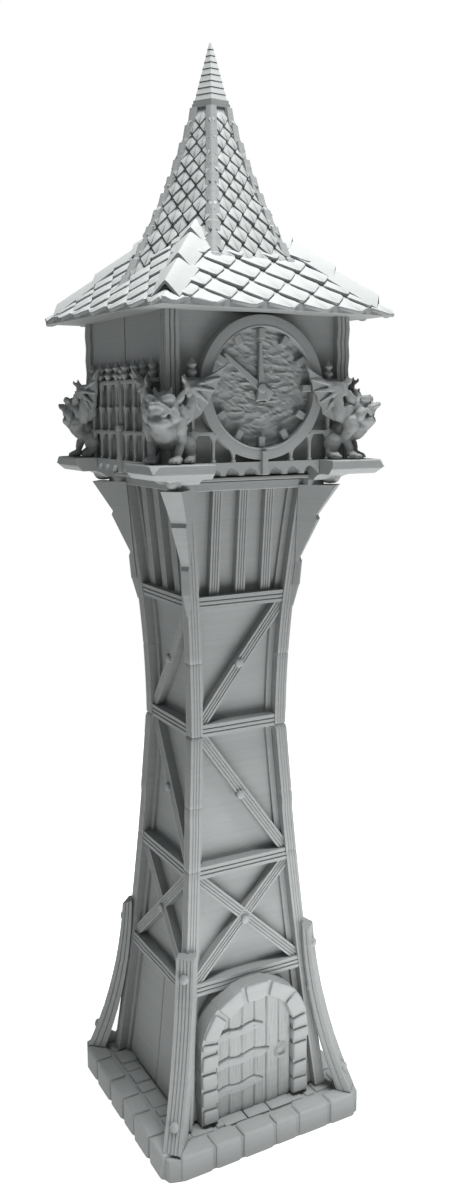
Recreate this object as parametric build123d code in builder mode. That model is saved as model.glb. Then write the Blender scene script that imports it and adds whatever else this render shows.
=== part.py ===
from build123d import *
import os
from math import atan2, cos, degrees, hypot, radians, sin

# Driving dimensions, in millimetres and degrees. The tower stands on z = 0, its door and clock face -Y.
overrun = 120.0
seat_gap = 0.2

# Plinth
plinth_width = 87.0
plinth_height = 10.0
plinth_chamfer = 1.2
corner_notch_width = 5.8
corner_notch_depth = 4.0

# Shaft: half-widths over the corner posts, and the levels where they are measured
plinth_margin = 11.3
waist_half = 20.0
neck_half = 22.2
head_half = 25.9
neck_rise = 4.2
flare_height = 39.0
lower_bow = 0.9
post_width = 4.6
wall_thickness = 2.4

# Rails, braces and battens between the posts
rail_height = 4.6
rail_set_back = 0.5
first_rail_level = 60.4
first_bay_height = 44.4
second_bay_height = 53.2
third_bay_height = 47.8
brace_width = 4.0
brace_set_back = 1.5
batten_width = 3.9
batten_count = 3
batten_pitch_share = 0.6
batten_set_back = 2.0

# Brackets at the heads of the posts, measured outwards from the posts' corners along the diagonals
bracket_rise = 2.0
bracket_base_proud = 1.3
bracket_lower_proud = 0.9
bracket_upper_proud = 5.0
bracket_head_proud = 10.4
bracket_lower_rise = 8.6
bracket_upper_rise = 24.3
bracket_notch = 0.6
bracket_notch_height = 1.5
bracket_base_width = 2.6
bracket_head_width = 7.4

# Struts leaning on the corners, measured outwards along the diagonals
strut_width = 6.9
strut_foot_margin = 5.2
strut_foot_depth = 7.8
strut_head_proud = 1.3
strut_head_depth = 4.2
strut_rise = 67.0
strut_bow = 3.0
strut_crown = 1.6

# Doorway
arch_clearance = 3.7
arch_lap = 3.1
jamb_width = 7.5
arch_projection = 1.0
arch_bevel = 0.8
door_recess = 2.6
strap_width = 3.8
strap_point = 4.2
strap_thickness = 0.6
strap_side_gap = 0.6
ring_plate_radius = 3.0
ring_plate_inset = 4.4
strap_reach_share = 0.68
strap_level_shares = (0.24, 0.50, 0.76)

# Balcony
corbel_height = 4.3
floor_half = 36.8
floor_thickness = 4.9
pad_half = 45.0
pad_width = 22.3
pad_bevel = 2.2
pad_bevel_height = 2.2
fascia_thickness = 1.4
fascia_height = 4.4
fascia_post = 3.0
fascia_arches = 3
fascia_margin = 0.9
corbel_head_half = 38.0
corbel_foot_half = 33.0
corbel_neck_half = 29.5
corbel_neck_height = 2.0
corbel_bow = 0.5

# Clock room
room_half = 35.5
room_post = 4.8
room_height = 49.0
room_recess = 2.7
side_recess = 1.2
side_joint_width = 0.9
side_joint_depth = 0.8

# Railings
railing_half = 30.2
railing_thickness = 1.7
railing_front = 36.7
bar_width = 1.3
rail_thickness = 1.3
bar_count = 8
end_bar_inset = 3.8
lower_rail_height = 9.6
upper_rail_height = 27.0
finial_height = 7.0
finial_width = 3.0
capital_size = 1.5
collar_width = 2.1
collar_height = 1.0
centre_post_width = 2.2
centre_post_proud = 1.3
centre_post_cap = 1.6
centre_cap_lip = 0.5
ring_post_rise = 3.5
collar_share = 0.5
finial_shares = (0.35, 0.6)

# Clock
clock_clearance = 0.6
ring_width = 3.9
ring_front = 36.9
dial_recess = 2.4
marker_length = 2.8
marker_width = 2.0
marker_depth = 1.2
marker_gap = 0.5
hours = 12
hand_thickness = 0.7
minute_end_gap = 2.0
minute_tail = 5.0
minute_angle = 142.0
hour_end_gap = 5.0
hour_tail = 4.2
hour_angle = 92.0
hand_root_width = 2.6
hand_tip_width = 1.0
hand_tail_width = 4.6
hub_radius = 1.7

# Gargoyles, measured outwards along the diagonals and upwards from the balcony pads
beast_clearance = 2.8
torso_length = 17.0
torso_radius = 5.0
torso_height = 9.6
torso_lean = 40.0
head_length = 12.6
head_radius = 5.9
head_lead = 3.0
head_height = 16.6
neck_radius = 3.6
foreleg_lead = 2.6
foreleg_spread = 4.1
foreleg_radius = 1.9
foreleg_top = 10.0
haunch_lag = 4.5
haunch_spread = 5.0
haunch_radius = 3.9
haunch_height = 4.6
paw_length = 5.2
paw_width = 3.9
paw_height = 2.2
paw_fillet = 0.8
muzzle_length = 8.4
muzzle_radius = 4.2
muzzle_lead = 3.4
muzzle_drop = 2.6
ear_height = 4.4
ear_radius = 1.7
ear_spread = 4.2
wing_root_lead = -1.5
wing_root_spread = 5.5
wing_root_height = 9.0
wing_root_width = 3.4
wing_root_lap = 4.4
wing_wrist_lead = 1.2
wing_wrist_height = 27.6
wing_span = 17.0
wing_tip_height = 31.4
wing_thickness = 1.2
wing_fingers = 3
wing_hem_height = 12.6
wing_lead_bow = 1.7
wing_hem_bow = 1.0
wing_sweep = 45.0

# Roof
roof_turn = 3.3
eave_half = 46.5
eave_thickness = 2.6
eave_lip = 1.5
roof_rise = 35.3
roof_crown_half = 12.0
hip_width = 7.0
hip_thickness = 1.3
spire_foot_inset = 7.4
spire_foot_rise = 5.7
spire_head_radius = 6.9
spire_height = 62.5
spire_bow = 1.9
spire_sides = 6
ridge_width = 3.2
ridge_height = 0.9
cap_radius = 7.6
cap_band_height = 1.2
cap_band_step = 0.5
cap_courses = 9
cap_course_lip = 0.25
cap_tip_radius = 0.6
cap_height = 22.0

# Places that follow from the sizes above
wall_recess = post_width
foot_half = plinth_width / 2 - plinth_margin
second_rail_level = first_rail_level + first_bay_height
waist_level = second_rail_level + second_bay_height
fourth_rail_level = waist_level + third_bay_height
rail_levels = (first_rail_level, second_rail_level, waist_level, fourth_rail_level)
neck_level = fourth_rail_level + neck_rise
shaft_top = neck_level + flare_height
bracket_base = neck_level + bracket_rise
bracket_lower_step = bracket_base + bracket_lower_rise
bracket_upper_step = bracket_base + bracket_upper_rise
strut_top = plinth_height + strut_rise
diagonal = 2**0.5
strut_foot_reach = diagonal * plinth_width / 2 - strut_foot_margin
arch_front = foot_half + arch_projection
arch_half = foot_half - post_width - arch_clearance
arch_spring = first_rail_level + arch_lap - arch_half
inner_half = floor_half - fascia_thickness
pad_centre = pad_half - pad_width / 2
pad_inner = pad_half - pad_width
floor_bottom = shaft_top + corbel_height
floor_top = floor_bottom + floor_thickness
door_half = arch_half - jamb_width
door_front = arch_front - door_recess
room_top = floor_top + room_height
clock_level = (floor_top + room_top) / 2
clock_radius = room_height / 2 - clock_clearance
dial_radius = clock_radius - ring_width
minute_length = dial_radius - minute_end_gap
hour_length = dial_radius - hour_end_gap
dial_front = ring_front - dial_recess
room_face = room_half - room_recess
room_wall_thickness = room_post - room_recess
railing_lower = floor_top + lower_rail_height
railing_upper = floor_top + upper_rail_height
end_bar = railing_half - end_bar_inset
beast_reach = diagonal * room_half + beast_clearance
head_reach = beast_reach + head_lead
foreleg_reach = beast_reach + foreleg_lead
haunch_reach = beast_reach - haunch_lag
deck_top = room_top + eave_thickness
spire_foot_level = deck_top + spire_foot_rise
spire_head_level = spire_foot_level + spire_height
roof_half = eave_half - eave_lip
crown_level = deck_top + roof_rise
spire_foot_radius = roof_half - spire_foot_inset
sides = {"front": 0, "right": 90, "back": 180, "left": 270}
corners = {"front_left": 225, "front_right": 315, "back_right": 45, "back_left": 135}
own_corner = corners["back_right"]

os.makedirs("parts", exist_ok=True)


def elevation(angle):
    """Upright drawing plane through the tower's axis, drawn outwards along the angle and upwards."""
    a = radians(angle)
    return Plane(origin=(0, 0, 0), x_dir=(cos(a), sin(a), 0), z_dir=(sin(a), -cos(a), 0))


def write(part, label):
    """Name a finished piece and save it."""
    part.label = label
    export_step(part, f"parts/{label}.step")


def write_turned(part, name, places, start=0):
    """Save one copy of a piece for each side or corner, turned about the tower's axis."""
    for place, angle in places.items():
        with BuildPart() as turned:
            add(part, rotation=(0, 0, angle - start), clean=False)
        write(turned.part, f"{name}_{place}")


def shaft_curve(inset):
    """Outer edge of a corner post in side view, moved inwards: bowed foot, neck, flared head."""
    lower = SagittaArc((foot_half - inset, plinth_height), (waist_half - inset, waist_level), lower_bow)
    neck = TangentArc(lower @ 1, (neck_half - inset, neck_level), tangent=(0, 1))
    head = TangentArc(neck @ 1, (head_half - inset, shaft_top), tangent=neck % 1)
    return lower @ 0, head @ 1


def shaft_band(near, far):
    """Strip of the side view between two insets from the posts' outer edge."""
    with BuildLine() as outline:
        near_foot, near_head = shaft_curve(near)
        far_foot, far_head = shaft_curve(far)
        Line(near_foot, far_foot)
        Line(near_head, far_head)
    make_face(outline.edges())


def shaft_fill(inset):
    """Whole side view of the shaft, both halves, inside an inset from the posts' outer edge."""
    with BuildLine() as outline:
        foot, head = shaft_curve(inset)
        mirror(about=Plane.YZ)
        Line(foot, (-foot.X, foot.Y))
        Line(head, (-head.X, head.Y))
    make_face(outline.edges())


def post_half(level):
    """Half-width over the posts at a level, taken straight between the measured ones."""
    stations = (
        (plinth_height, foot_half),
        (waist_level, waist_half),
        (neck_level, neck_half),
        (shaft_top, head_half),
    )
    for (low, low_half), (high, high_half) in zip(stations, stations[1:]):
        if level <= high:
            break
    return low_half + (high_half - low_half) * (level - low) / (high - low)


# Plinth, a slab of flagstones with worn upper edges
with BuildPart() as plinth:
    with BuildSketch():
        Rectangle(plinth_width, plinth_width)
        with PolarLocations(0, len(corners)):
            with Locations((-plinth_width / 2, -plinth_width / 2)):
                Rectangle(2 * corner_notch_width, 2 * corner_notch_depth, mode=Mode.SUBTRACT)
    extrude(amount=plinth_height)
    chamfer(plinth.faces().sort_by(Axis.Z)[-1].edges(), length=plinth_chamfer)
write(plinth.part, "plinth")

# Corner posts: the same curved strip seen from both sides gives a square timber that leans two ways
with BuildPart() as post:
    with BuildSketch(elevation(0)):
        shaft_band(0, post_width)
    extrude(amount=overrun, both=True)
    with BuildSketch(elevation(90)):
        shaft_band(0, post_width)
    extrude(amount=overrun, both=True, mode=Mode.INTERSECT)
write_turned(post.part, "post", corners, start=own_corner)

# Walls: front and back run the full width, the other two fit between them
with BuildPart() as broad_wall:
    with BuildSketch(elevation(-90)):
        shaft_band(wall_recess, wall_recess + wall_thickness)
    extrude(amount=overrun, both=True)
    with BuildSketch(elevation(0)):
        shaft_fill(wall_recess)
    extrude(amount=overrun, both=True, mode=Mode.INTERSECT)
with BuildPart() as narrow_wall:
    with BuildSketch(elevation(-90)):
        shaft_band(wall_recess, wall_recess + wall_thickness)
    extrude(amount=overrun, both=True)
    with BuildSketch(elevation(0)):
        shaft_fill(wall_recess + wall_thickness + seat_gap)
    extrude(amount=overrun, both=True, mode=Mode.INTERSECT)
write_turned(broad_wall.part, "wall", {"front": 0, "back": 180})
write_turned(narrow_wall.part, "wall", {"right": 90, "left": 270})

# Stone arch of the doorway, set against the curved wall
with BuildPart() as door_arch:
    with BuildSketch(elevation(0)):
        with Locations((0, arch_spring)):
            Circle(arch_half)
        with Locations((0, plinth_height)):
            Rectangle(2 * arch_half, arch_spring - plinth_height, align=(Align.CENTER, Align.MIN))
        with Locations((0, arch_spring)):
            Circle(door_half, mode=Mode.SUBTRACT)
        with Locations((0, plinth_height)):
            Rectangle(
                2 * door_half,
                arch_spring - plinth_height,
                align=(Align.CENTER, Align.MIN),
                mode=Mode.SUBTRACT,
            )
    extrude(amount=arch_front)
    chamfer(door_arch.faces().sort_by(Axis.Y)[0].edges(), length=arch_bevel)
    with BuildSketch(elevation(-90)):
        shaft_fill(wall_recess - seat_gap)
    extrude(amount=overrun, both=True, mode=Mode.SUBTRACT)
write(door_arch.part, "door_arch")

# Plank door, closed inside the arch
with BuildPart() as door:
    with BuildSketch(elevation(0)):
        with Locations((0, arch_spring)):
            Circle(door_half - seat_gap)
        with Locations((0, plinth_height)):
            Rectangle(
                2 * (door_half - seat_gap),
                arch_spring - plinth_height,
                align=(Align.CENTER, Align.MIN),
            )
    extrude(amount=door_front)
    with BuildSketch(elevation(-90)):
        shaft_fill(wall_recess - seat_gap)
    extrude(amount=overrun, both=True, mode=Mode.SUBTRACT)
write(door.part, "door")

# Strap hinges with pointed ends and the round plate of the ring handle, on the face of the door
door_height = arch_spring + door_half - plinth_height
with BuildPart() as door_ironwork:
    with BuildSketch(elevation(0).offset(door_front)):
        for share in strap_level_shares:
            level = plinth_height + share * door_height
            rise = max(level + strap_width / 2 - arch_spring, 0)
            half_span = (door_half**2 - rise**2) ** 0.5 - strap_side_gap
            strap_end = half_span * (2 * strap_reach_share - 1)
            with BuildLine():
                Polyline(
                    (-half_span, level - strap_width / 2),
                    (strap_end - strap_point, level - strap_width / 2),
                    (strap_end, level),
                    (strap_end - strap_point, level + strap_width / 2),
                    (-half_span, level + strap_width / 2),
                    close=True,
                )
            make_face()
        with Locations((door_half - ring_plate_inset, plinth_height + door_height / 2)):
            Circle(ring_plate_radius)
    extrude(amount=strap_thickness)
write(door_ironwork.part, "door_ironwork")

# Rails across the bays, nearly flush with the posts
with BuildPart() as rail_slabs:
    for level in rail_levels:
        with BuildSketch(Plane.XY.offset(level)):
            Rectangle(2 * overrun, 2 * overrun)
        extrude(amount=rail_height)
with BuildPart() as rails:
    with BuildSketch(elevation(-90)):
        shaft_band(rail_set_back, wall_recess - seat_gap)
    extrude(amount=overrun, both=True)
    with BuildSketch(elevation(0)):
        shaft_fill(post_width + seat_gap)
    extrude(amount=overrun, both=True, mode=Mode.INTERSECT)
    add(rail_slabs.part, mode=Mode.INTERSECT)
with BuildPart() as rails_front:
    add(rails.part)
    with BuildSketch(elevation(0)):
        with Locations((0, arch_spring)):
            Circle(arch_half + seat_gap)
    extrude(amount=overrun, mode=Mode.SUBTRACT)
write(rails_front.part, "rails_front")
write_turned(rails.part, "rails", {"right": 90, "back": 180, "left": 270})


def bay_board(low, high, slope):
    """Outline of a brace from corner to corner of a bay: slope 1 rises to the right, -1 falls."""
    run = post_half(low) + post_half(high) - 2 * post_width
    rise = high - low
    tilt = degrees(atan2(rise, run))
    with Locations((0, (low + high) / 2)):
        Rectangle(hypot(run, rise), brace_width, rotation=slope * tilt)


# Braces: a cross in the first bay, a falling and a rising board above, upright battens in the flare
bay_lows = [level + rail_height + seat_gap for level in rail_levels]
bay_highs = [level - seat_gap for level in rail_levels[1:]]
with BuildPart() as brace_boards:
    with BuildSketch(elevation(-90)):
        shaft_band(brace_set_back, wall_recess - seat_gap)
    extrude(amount=overrun, both=True)
    with BuildSketch(elevation(0)):
        shaft_fill(post_width + seat_gap)
    extrude(amount=overrun, both=True, mode=Mode.INTERSECT)
    with BuildSketch(elevation(0)):
        bay_board(bay_lows[0], bay_highs[0], 1)
        bay_board(bay_lows[0], bay_highs[0], -1)
        bay_board(bay_lows[1], bay_highs[1], -1)
        bay_board(bay_lows[2], bay_highs[2], 1)
        for level in rail_levels[:-1]:
            with Locations((0, level - seat_gap)):
                Rectangle(
                    2 * overrun,
                    rail_height + 2 * seat_gap,
                    align=(Align.CENTER, Align.MIN),
                    mode=Mode.SUBTRACT,
                )
        with Locations((0, fourth_rail_level - seat_gap)):
            Rectangle(
                2 * overrun, overrun, align=(Align.CENTER, Align.MIN), mode=Mode.SUBTRACT
            )
    extrude(amount=overrun, mode=Mode.INTERSECT)
with BuildPart() as battens:
    with BuildSketch(elevation(-90)):
        shaft_band(batten_set_back, wall_recess - seat_gap)
    extrude(amount=overrun, both=True)
    with BuildSketch(elevation(0)):
        pitch = batten_pitch_share * (post_half(neck_level) - post_width)
        for index in range(batten_count):
            with Locations(((index + 0.5 - batten_count / 2) * pitch, bay_lows[3])):
                Rectangle(batten_width, overrun, align=(Align.CENTER, Align.MIN))
    extrude(amount=overrun, mode=Mode.INTERSECT)
with BuildPart() as braces:
    add(brace_boards.part)
    add(battens.part)
write_turned(braces.part, "braces", sides)


# Brackets: thin fins on the corners of the posts, widening upwards, their outer edges stepped by notches
def corner_reach(level, proud):
    """Distance along the diagonal to a point that stands out from the posts' corner at a level."""
    return diagonal * post_half(level) + proud


lower_reach = corner_reach(bracket_lower_step, bracket_lower_proud)
upper_reach = corner_reach(bracket_upper_step, bracket_upper_proud)
with BuildPart() as shaft_envelope:
    with BuildSketch(elevation(0)):
        shaft_fill(-seat_gap)
    extrude(amount=overrun, both=True)
    with BuildSketch(elevation(90)):
        shaft_fill(-seat_gap)
    extrude(amount=overrun, both=True, mode=Mode.INTERSECT)
with BuildPart() as bracket:
    with BuildSketch(elevation(own_corner)):
        with BuildLine():
            Polyline(
                (0, bracket_base),
                (corner_reach(bracket_base, bracket_base_proud), bracket_base),
                (lower_reach, bracket_lower_step),
                (lower_reach - bracket_notch, bracket_lower_step + bracket_notch_height),
                (upper_reach, bracket_upper_step),
                (upper_reach - bracket_notch, bracket_upper_step + bracket_notch_height),
                (corner_reach(shaft_top, bracket_head_proud), shaft_top),
                (0, shaft_top),
                close=True,
            )
        make_face()
    extrude(amount=overrun, both=True)
    with BuildSketch(elevation(own_corner - 90)):
        with BuildLine():
            Polyline(
                (-bracket_base_width / 2, bracket_base),
                (bracket_base_width / 2, bracket_base),
                (bracket_base_width / 2, bracket_lower_step),
                (bracket_head_width / 2, shaft_top),
                (-bracket_head_width / 2, shaft_top),
                (-bracket_base_width / 2, bracket_lower_step),
                close=True,
            )
        make_face()
    extrude(amount=overrun, both=True, mode=Mode.INTERSECT)
    add(shaft_envelope.part, mode=Mode.SUBTRACT)
write_turned(bracket.part, "bracket", corners, start=own_corner)

# Struts: bowed timbers in the diagonal planes, notched over the corners of the posts
strut_head_reach = diagonal * post_half(strut_top) + strut_head_proud
with BuildPart() as strut:
    with BuildSketch(elevation(own_corner)):
        with BuildLine():
            outer = SagittaArc((strut_foot_reach, plinth_height), (strut_head_reach, strut_top), strut_bow)
            head = Line(outer @ 1, (strut_head_reach - strut_head_depth, strut_top + strut_crown))
            inner = SagittaArc((strut_foot_reach - strut_foot_depth, plinth_height), head @ 1, strut_bow)
            Line(inner @ 0, outer @ 0)
        make_face()
    extrude(amount=strut_width / 2, both=True)
    add(shaft_envelope.part, mode=Mode.SUBTRACT)
write_turned(strut.part, "strut", corners, start=own_corner)

# Balcony floor with a projecting pad at each corner
with BuildPart() as balcony_floor:
    with BuildSketch(Plane.XY.offset(floor_bottom)):
        Rectangle(2 * inner_half, 2 * inner_half)
    extrude(amount=floor_thickness)
    with BuildSketch(Plane.XY.offset(floor_bottom)):
        with GridLocations(2 * pad_centre, 2 * pad_centre, 2, 2):
            Rectangle(pad_width, pad_width)
    extrude(amount=floor_thickness)
    rim = balcony_floor.faces().sort_by(Axis.Z)[0].edges()
    reach = rim.filter_by(lambda edge: max(abs(edge.center().X), abs(edge.center().Y)) > floor_half)
    outer_rim = reach.filter_by(lambda edge: abs(edge.length - pad_width) < pad_bevel)
    chamfer(outer_rim, length=pad_bevel_height, length2=pad_bevel)
write(balcony_floor.part, "balcony_floor")

# Pierced arches along the balcony's edge, between the pads
with BuildPart() as fascia:
    with BuildSketch(elevation(0).offset(inner_half)):
        with Locations((0, floor_top)):
            Rectangle(2 * (pad_inner - seat_gap), fascia_height, align=(Align.CENTER, Align.MAX))
        arch_pitch = (pad_inner - seat_gap - fascia_post / 2) / fascia_arches
        arch_radius = arch_pitch / 2 - fascia_margin
        for index in range(fascia_arches):
            place = fascia_post / 2 + (index + 0.5) * arch_pitch
            with Locations((place, floor_top - fascia_height), (-place, floor_top - fascia_height)):
                Circle(arch_radius, mode=Mode.SUBTRACT)
    extrude(amount=fascia_thickness)
with BuildPart() as balcony_fascia:
    with PolarLocations(0, len(sides)):
        add(fascia.part)
write(balcony_fascia.part, "balcony_fascia")


def corbel_outline():
    """Side view of a corbel: a narrow neck, then a hollow moulding that widens to the pads."""
    neck_top = shaft_top + corbel_neck_height
    with BuildLine() as outline:
        curve = SagittaArc((corbel_foot_half, neck_top), (corbel_head_half, floor_bottom), corbel_bow)
        Polyline(
            curve @ 1,
            (pad_inner, floor_bottom),
            (pad_inner, shaft_top),
            (corbel_neck_half, shaft_top),
            (corbel_neck_half, neck_top),
            curve @ 0,
        )
    make_face(outline.edges())


# Corbels under the pads, mitred round the corners
with BuildPart() as corbel:
    with BuildSketch(elevation(0)):
        corbel_outline()
    extrude(amount=overrun, both=True)
    with BuildSketch(elevation(90)):
        corbel_outline()
    extrude(amount=overrun, both=True, mode=Mode.INTERSECT)
with BuildPart() as balcony_corbels:
    with PolarLocations(0, len(corners)):
        add(corbel.part)
write(balcony_corbels.part, "balcony_corbels")

# Head beam: a square frame that closes the shaft under the balcony
with BuildPart() as head_beam:
    with BuildSketch(Plane.XY.offset(shaft_top)):
        Rectangle(2 * (pad_inner - seat_gap), 2 * (head_half - rail_set_back))
        Rectangle(2 * (head_half - rail_set_back), 2 * (pad_inner - seat_gap))
    extrude(amount=floor_bottom - shaft_top)
write(head_beam.part, "head_beam")

# Clock room: posts at the corners, walls set back between them
post_place = room_half - room_post / 2
with BuildPart() as room_posts:
    with BuildSketch(Plane.XY.offset(floor_top)):
        with GridLocations(2 * post_place, 2 * post_place, 2, 2):
            Rectangle(room_post, room_post)
    extrude(amount=room_height)
write(room_posts.part, "room_posts")
wall_half = room_half - room_post
with BuildPart() as room_wall:
    with BuildSketch(elevation(0).offset(room_face - room_wall_thickness)):
        with Locations((0, floor_top)):
            Rectangle(2 * wall_half, room_height, align=(Align.CENTER, Align.MIN))
    extrude(amount=room_wall_thickness)
write(room_wall.part, "room_wall_front")
side_face = room_half - side_recess
with BuildPart() as side_wall:
    with BuildSketch(elevation(0).offset(side_face - room_wall_thickness)):
        with Locations((0, floor_top)):
            Rectangle(2 * wall_half, room_height, align=(Align.CENTER, Align.MIN))
    extrude(amount=room_wall_thickness)
    with BuildSketch(elevation(0).offset(side_face - side_joint_depth)):
        with Locations((0, floor_top)):
            Rectangle(side_joint_width, room_height, align=(Align.CENTER, Align.MIN))
    extrude(amount=side_joint_depth, mode=Mode.SUBTRACT)
write_turned(side_wall.part, "room_wall", {"right": 90, "back": 180, "left": 270})

# Railings: two tiers of slim columns under rails, with a finial over each column
bar_pitch = 2 * end_bar / (bar_count - 1)
bar_places = [index * bar_pitch - end_bar for index in range(bar_count)]


def finial(place):
    """Outline of a finial: a bulb with a point, standing on the upper rail."""
    base = railing_upper + rail_thickness / 2
    with BuildLine() as outline:
        Polyline(
            (place - bar_width / 2, base),
            (place - finial_width / 2, base + finial_height * finial_shares[0]),
            (place - bar_width / 2, base + finial_height * finial_shares[1]),
            (place, base + finial_height),
            (place + bar_width / 2, base + finial_height * finial_shares[1]),
            (place + finial_width / 2, base + finial_height * finial_shares[0]),
            (place + bar_width / 2, base),
            close=True,
        )
    make_face(outline.edges())


def capital(place, level):
    """Outline of a column's spreading head under a rail."""
    with BuildLine() as outline:
        Polyline(
            (place - bar_width / 2, level - capital_size),
            (place - bar_width / 2 - capital_size, level),
            (place + bar_width / 2 + capital_size, level),
            (place + bar_width / 2, level - capital_size),
            close=True,
        )
    make_face(outline.edges())


def railing_outline(places):
    """Front view of a railing with its columns at the places given."""
    for level in (railing_lower, railing_upper):
        with Locations((0, level)):
            Rectangle(2 * railing_half, rail_thickness)
    for place in places:
        with Locations((place, floor_top)):
            Rectangle(bar_width, railing_upper - floor_top, align=(Align.CENTER, Align.MIN))
        with Locations((place, railing_lower + collar_share * (railing_upper - railing_lower))):
            Rectangle(collar_width, collar_height)
        capital(place, railing_lower)
        capital(place, railing_upper)
        finial(place)


with BuildPart() as railing:
    with BuildSketch(elevation(0).offset(railing_front - railing_thickness)):
        railing_outline(bar_places)
    extrude(amount=railing_thickness)
    with BuildSketch(elevation(0).offset(railing_front - railing_thickness)):
        with Locations((0, floor_top)):
            Rectangle(centre_post_width, lower_rail_height, align=(Align.CENTER, Align.MIN))
        with Locations((0, railing_lower)):
            Rectangle(
                centre_post_width + 2 * centre_cap_lip, centre_post_cap, align=(Align.CENTER, Align.MIN)
            )
            Rectangle(bar_width, upper_rail_height - lower_rail_height, align=(Align.CENTER, Align.MIN))
        finial(0)
    extrude(amount=railing_thickness + centre_post_proud)
write_turned(railing.part, "railing", {"right": 90, "back": 180, "left": 270})
with BuildPart() as railing_front_part:
    with BuildSketch(elevation(0).offset(railing_front - railing_thickness)):
        railing_outline(bar_places[:3] + bar_places[-3:])
        with Locations((0, clock_level)):
            Circle(clock_radius + seat_gap, mode=Mode.SUBTRACT)
    extrude(amount=railing_thickness)
    with BuildSketch(elevation(0).offset(ring_front + seat_gap)):
        with Locations((0, floor_top - fascia_height)):
            Rectangle(
                centre_post_width, fascia_height + ring_post_rise, align=(Align.CENTER, Align.MIN)
            )
    extrude(amount=centre_post_proud)
write(railing_front_part.part, "railing_front")

# Clock: ring, sunk dial, hour blocks and hands
with BuildPart() as clock_ring:
    with BuildSketch(elevation(0).offset(room_face)):
        with Locations((0, clock_level)):
            Circle(clock_radius)
            Circle(dial_radius, mode=Mode.SUBTRACT)
    extrude(amount=ring_front - room_face)
write(clock_ring.part, "clock_ring")
with BuildPart() as clock_dial:
    with BuildSketch(elevation(0).offset(room_face)):
        with Locations((0, clock_level)):
            Circle(dial_radius - seat_gap)
    extrude(amount=dial_front - room_face)
write(clock_dial.part, "clock_dial")
with BuildPart() as clock_markers:
    with BuildSketch(elevation(0).offset(dial_front)):
        with Locations((0, clock_level)):
            with PolarLocations(dial_radius - marker_gap - marker_length / 2, hours):
                Rectangle(marker_length, marker_width)
    extrude(amount=marker_depth)
write(clock_markers.part, "clock_markers")


def hand(angle, length, tail):
    """Outline of a tapered hand with a flared tail, pointing along the angle from the dial's centre."""
    with BuildLine() as outline:
        Polyline(
            (-tail, -hand_tail_width / 2),
            (0, -hand_root_width / 2),
            (length, -hand_tip_width / 2),
            (length, hand_tip_width / 2),
            (0, hand_root_width / 2),
            (-tail, hand_tail_width / 2),
            close=True,
        )
    with Locations(Location((0, clock_level), angle)):
        add(make_face(outline.edges(), mode=Mode.PRIVATE))


with BuildPart() as clock_hands:
    with BuildSketch(elevation(0).offset(dial_front)):
        hand(hour_angle, hour_length, hour_tail)
        hand(minute_angle, minute_length, minute_tail)
        with Locations((0, clock_level)):
            Circle(hub_radius)
    extrude(amount=hand_thickness)
write(clock_hands.part, "clock_hands")

# Gargoyles: crouching winged beasts that look outwards over the corners of the balcony
torso_lean_angle = radians(torso_lean)
torso_plane = Plane(
    origin=(beast_reach, 0, floor_top + torso_height),
    x_dir=(cos(torso_lean_angle), 0, sin(torso_lean_angle)),
    z_dir=(0, -1, 0),
)
muzzle_plane = Plane(
    origin=(head_reach + muzzle_lead, 0, floor_top + head_height - muzzle_drop),
    x_dir=(0, 0, 1),
    z_dir=(0, -1, 0),
)
head_plane = Plane(origin=(head_reach, 0, floor_top + head_height), x_dir=(1, 0, 0), z_dir=(0, -1, 0))
neck_plane = Plane(
    origin=torso_plane.origin, x_dir=(0, 1, 0), z_dir=(head_lead, 0, head_height - torso_height)
)
sweep_angle = radians(wing_sweep)
wing_plane = Plane(
    origin=(beast_reach + wing_root_lead, wing_root_spread, floor_top),
    x_dir=(-sin(sweep_angle), cos(sweep_angle), 0),
    z_dir=(cos(sweep_angle), sin(sweep_angle), 0),
)


def egg(plane, length, radius):
    """Round body, longer than wide, turned about the drawing plane's own x axis."""
    with BuildSketch(plane) as half:
        Ellipse(length / 2, radius)
        Rectangle(length, radius, align=(Align.CENTER, Align.MAX), mode=Mode.SUBTRACT)
    revolve(half.sketch, axis=Axis(plane.origin, plane.x_dir))


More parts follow.
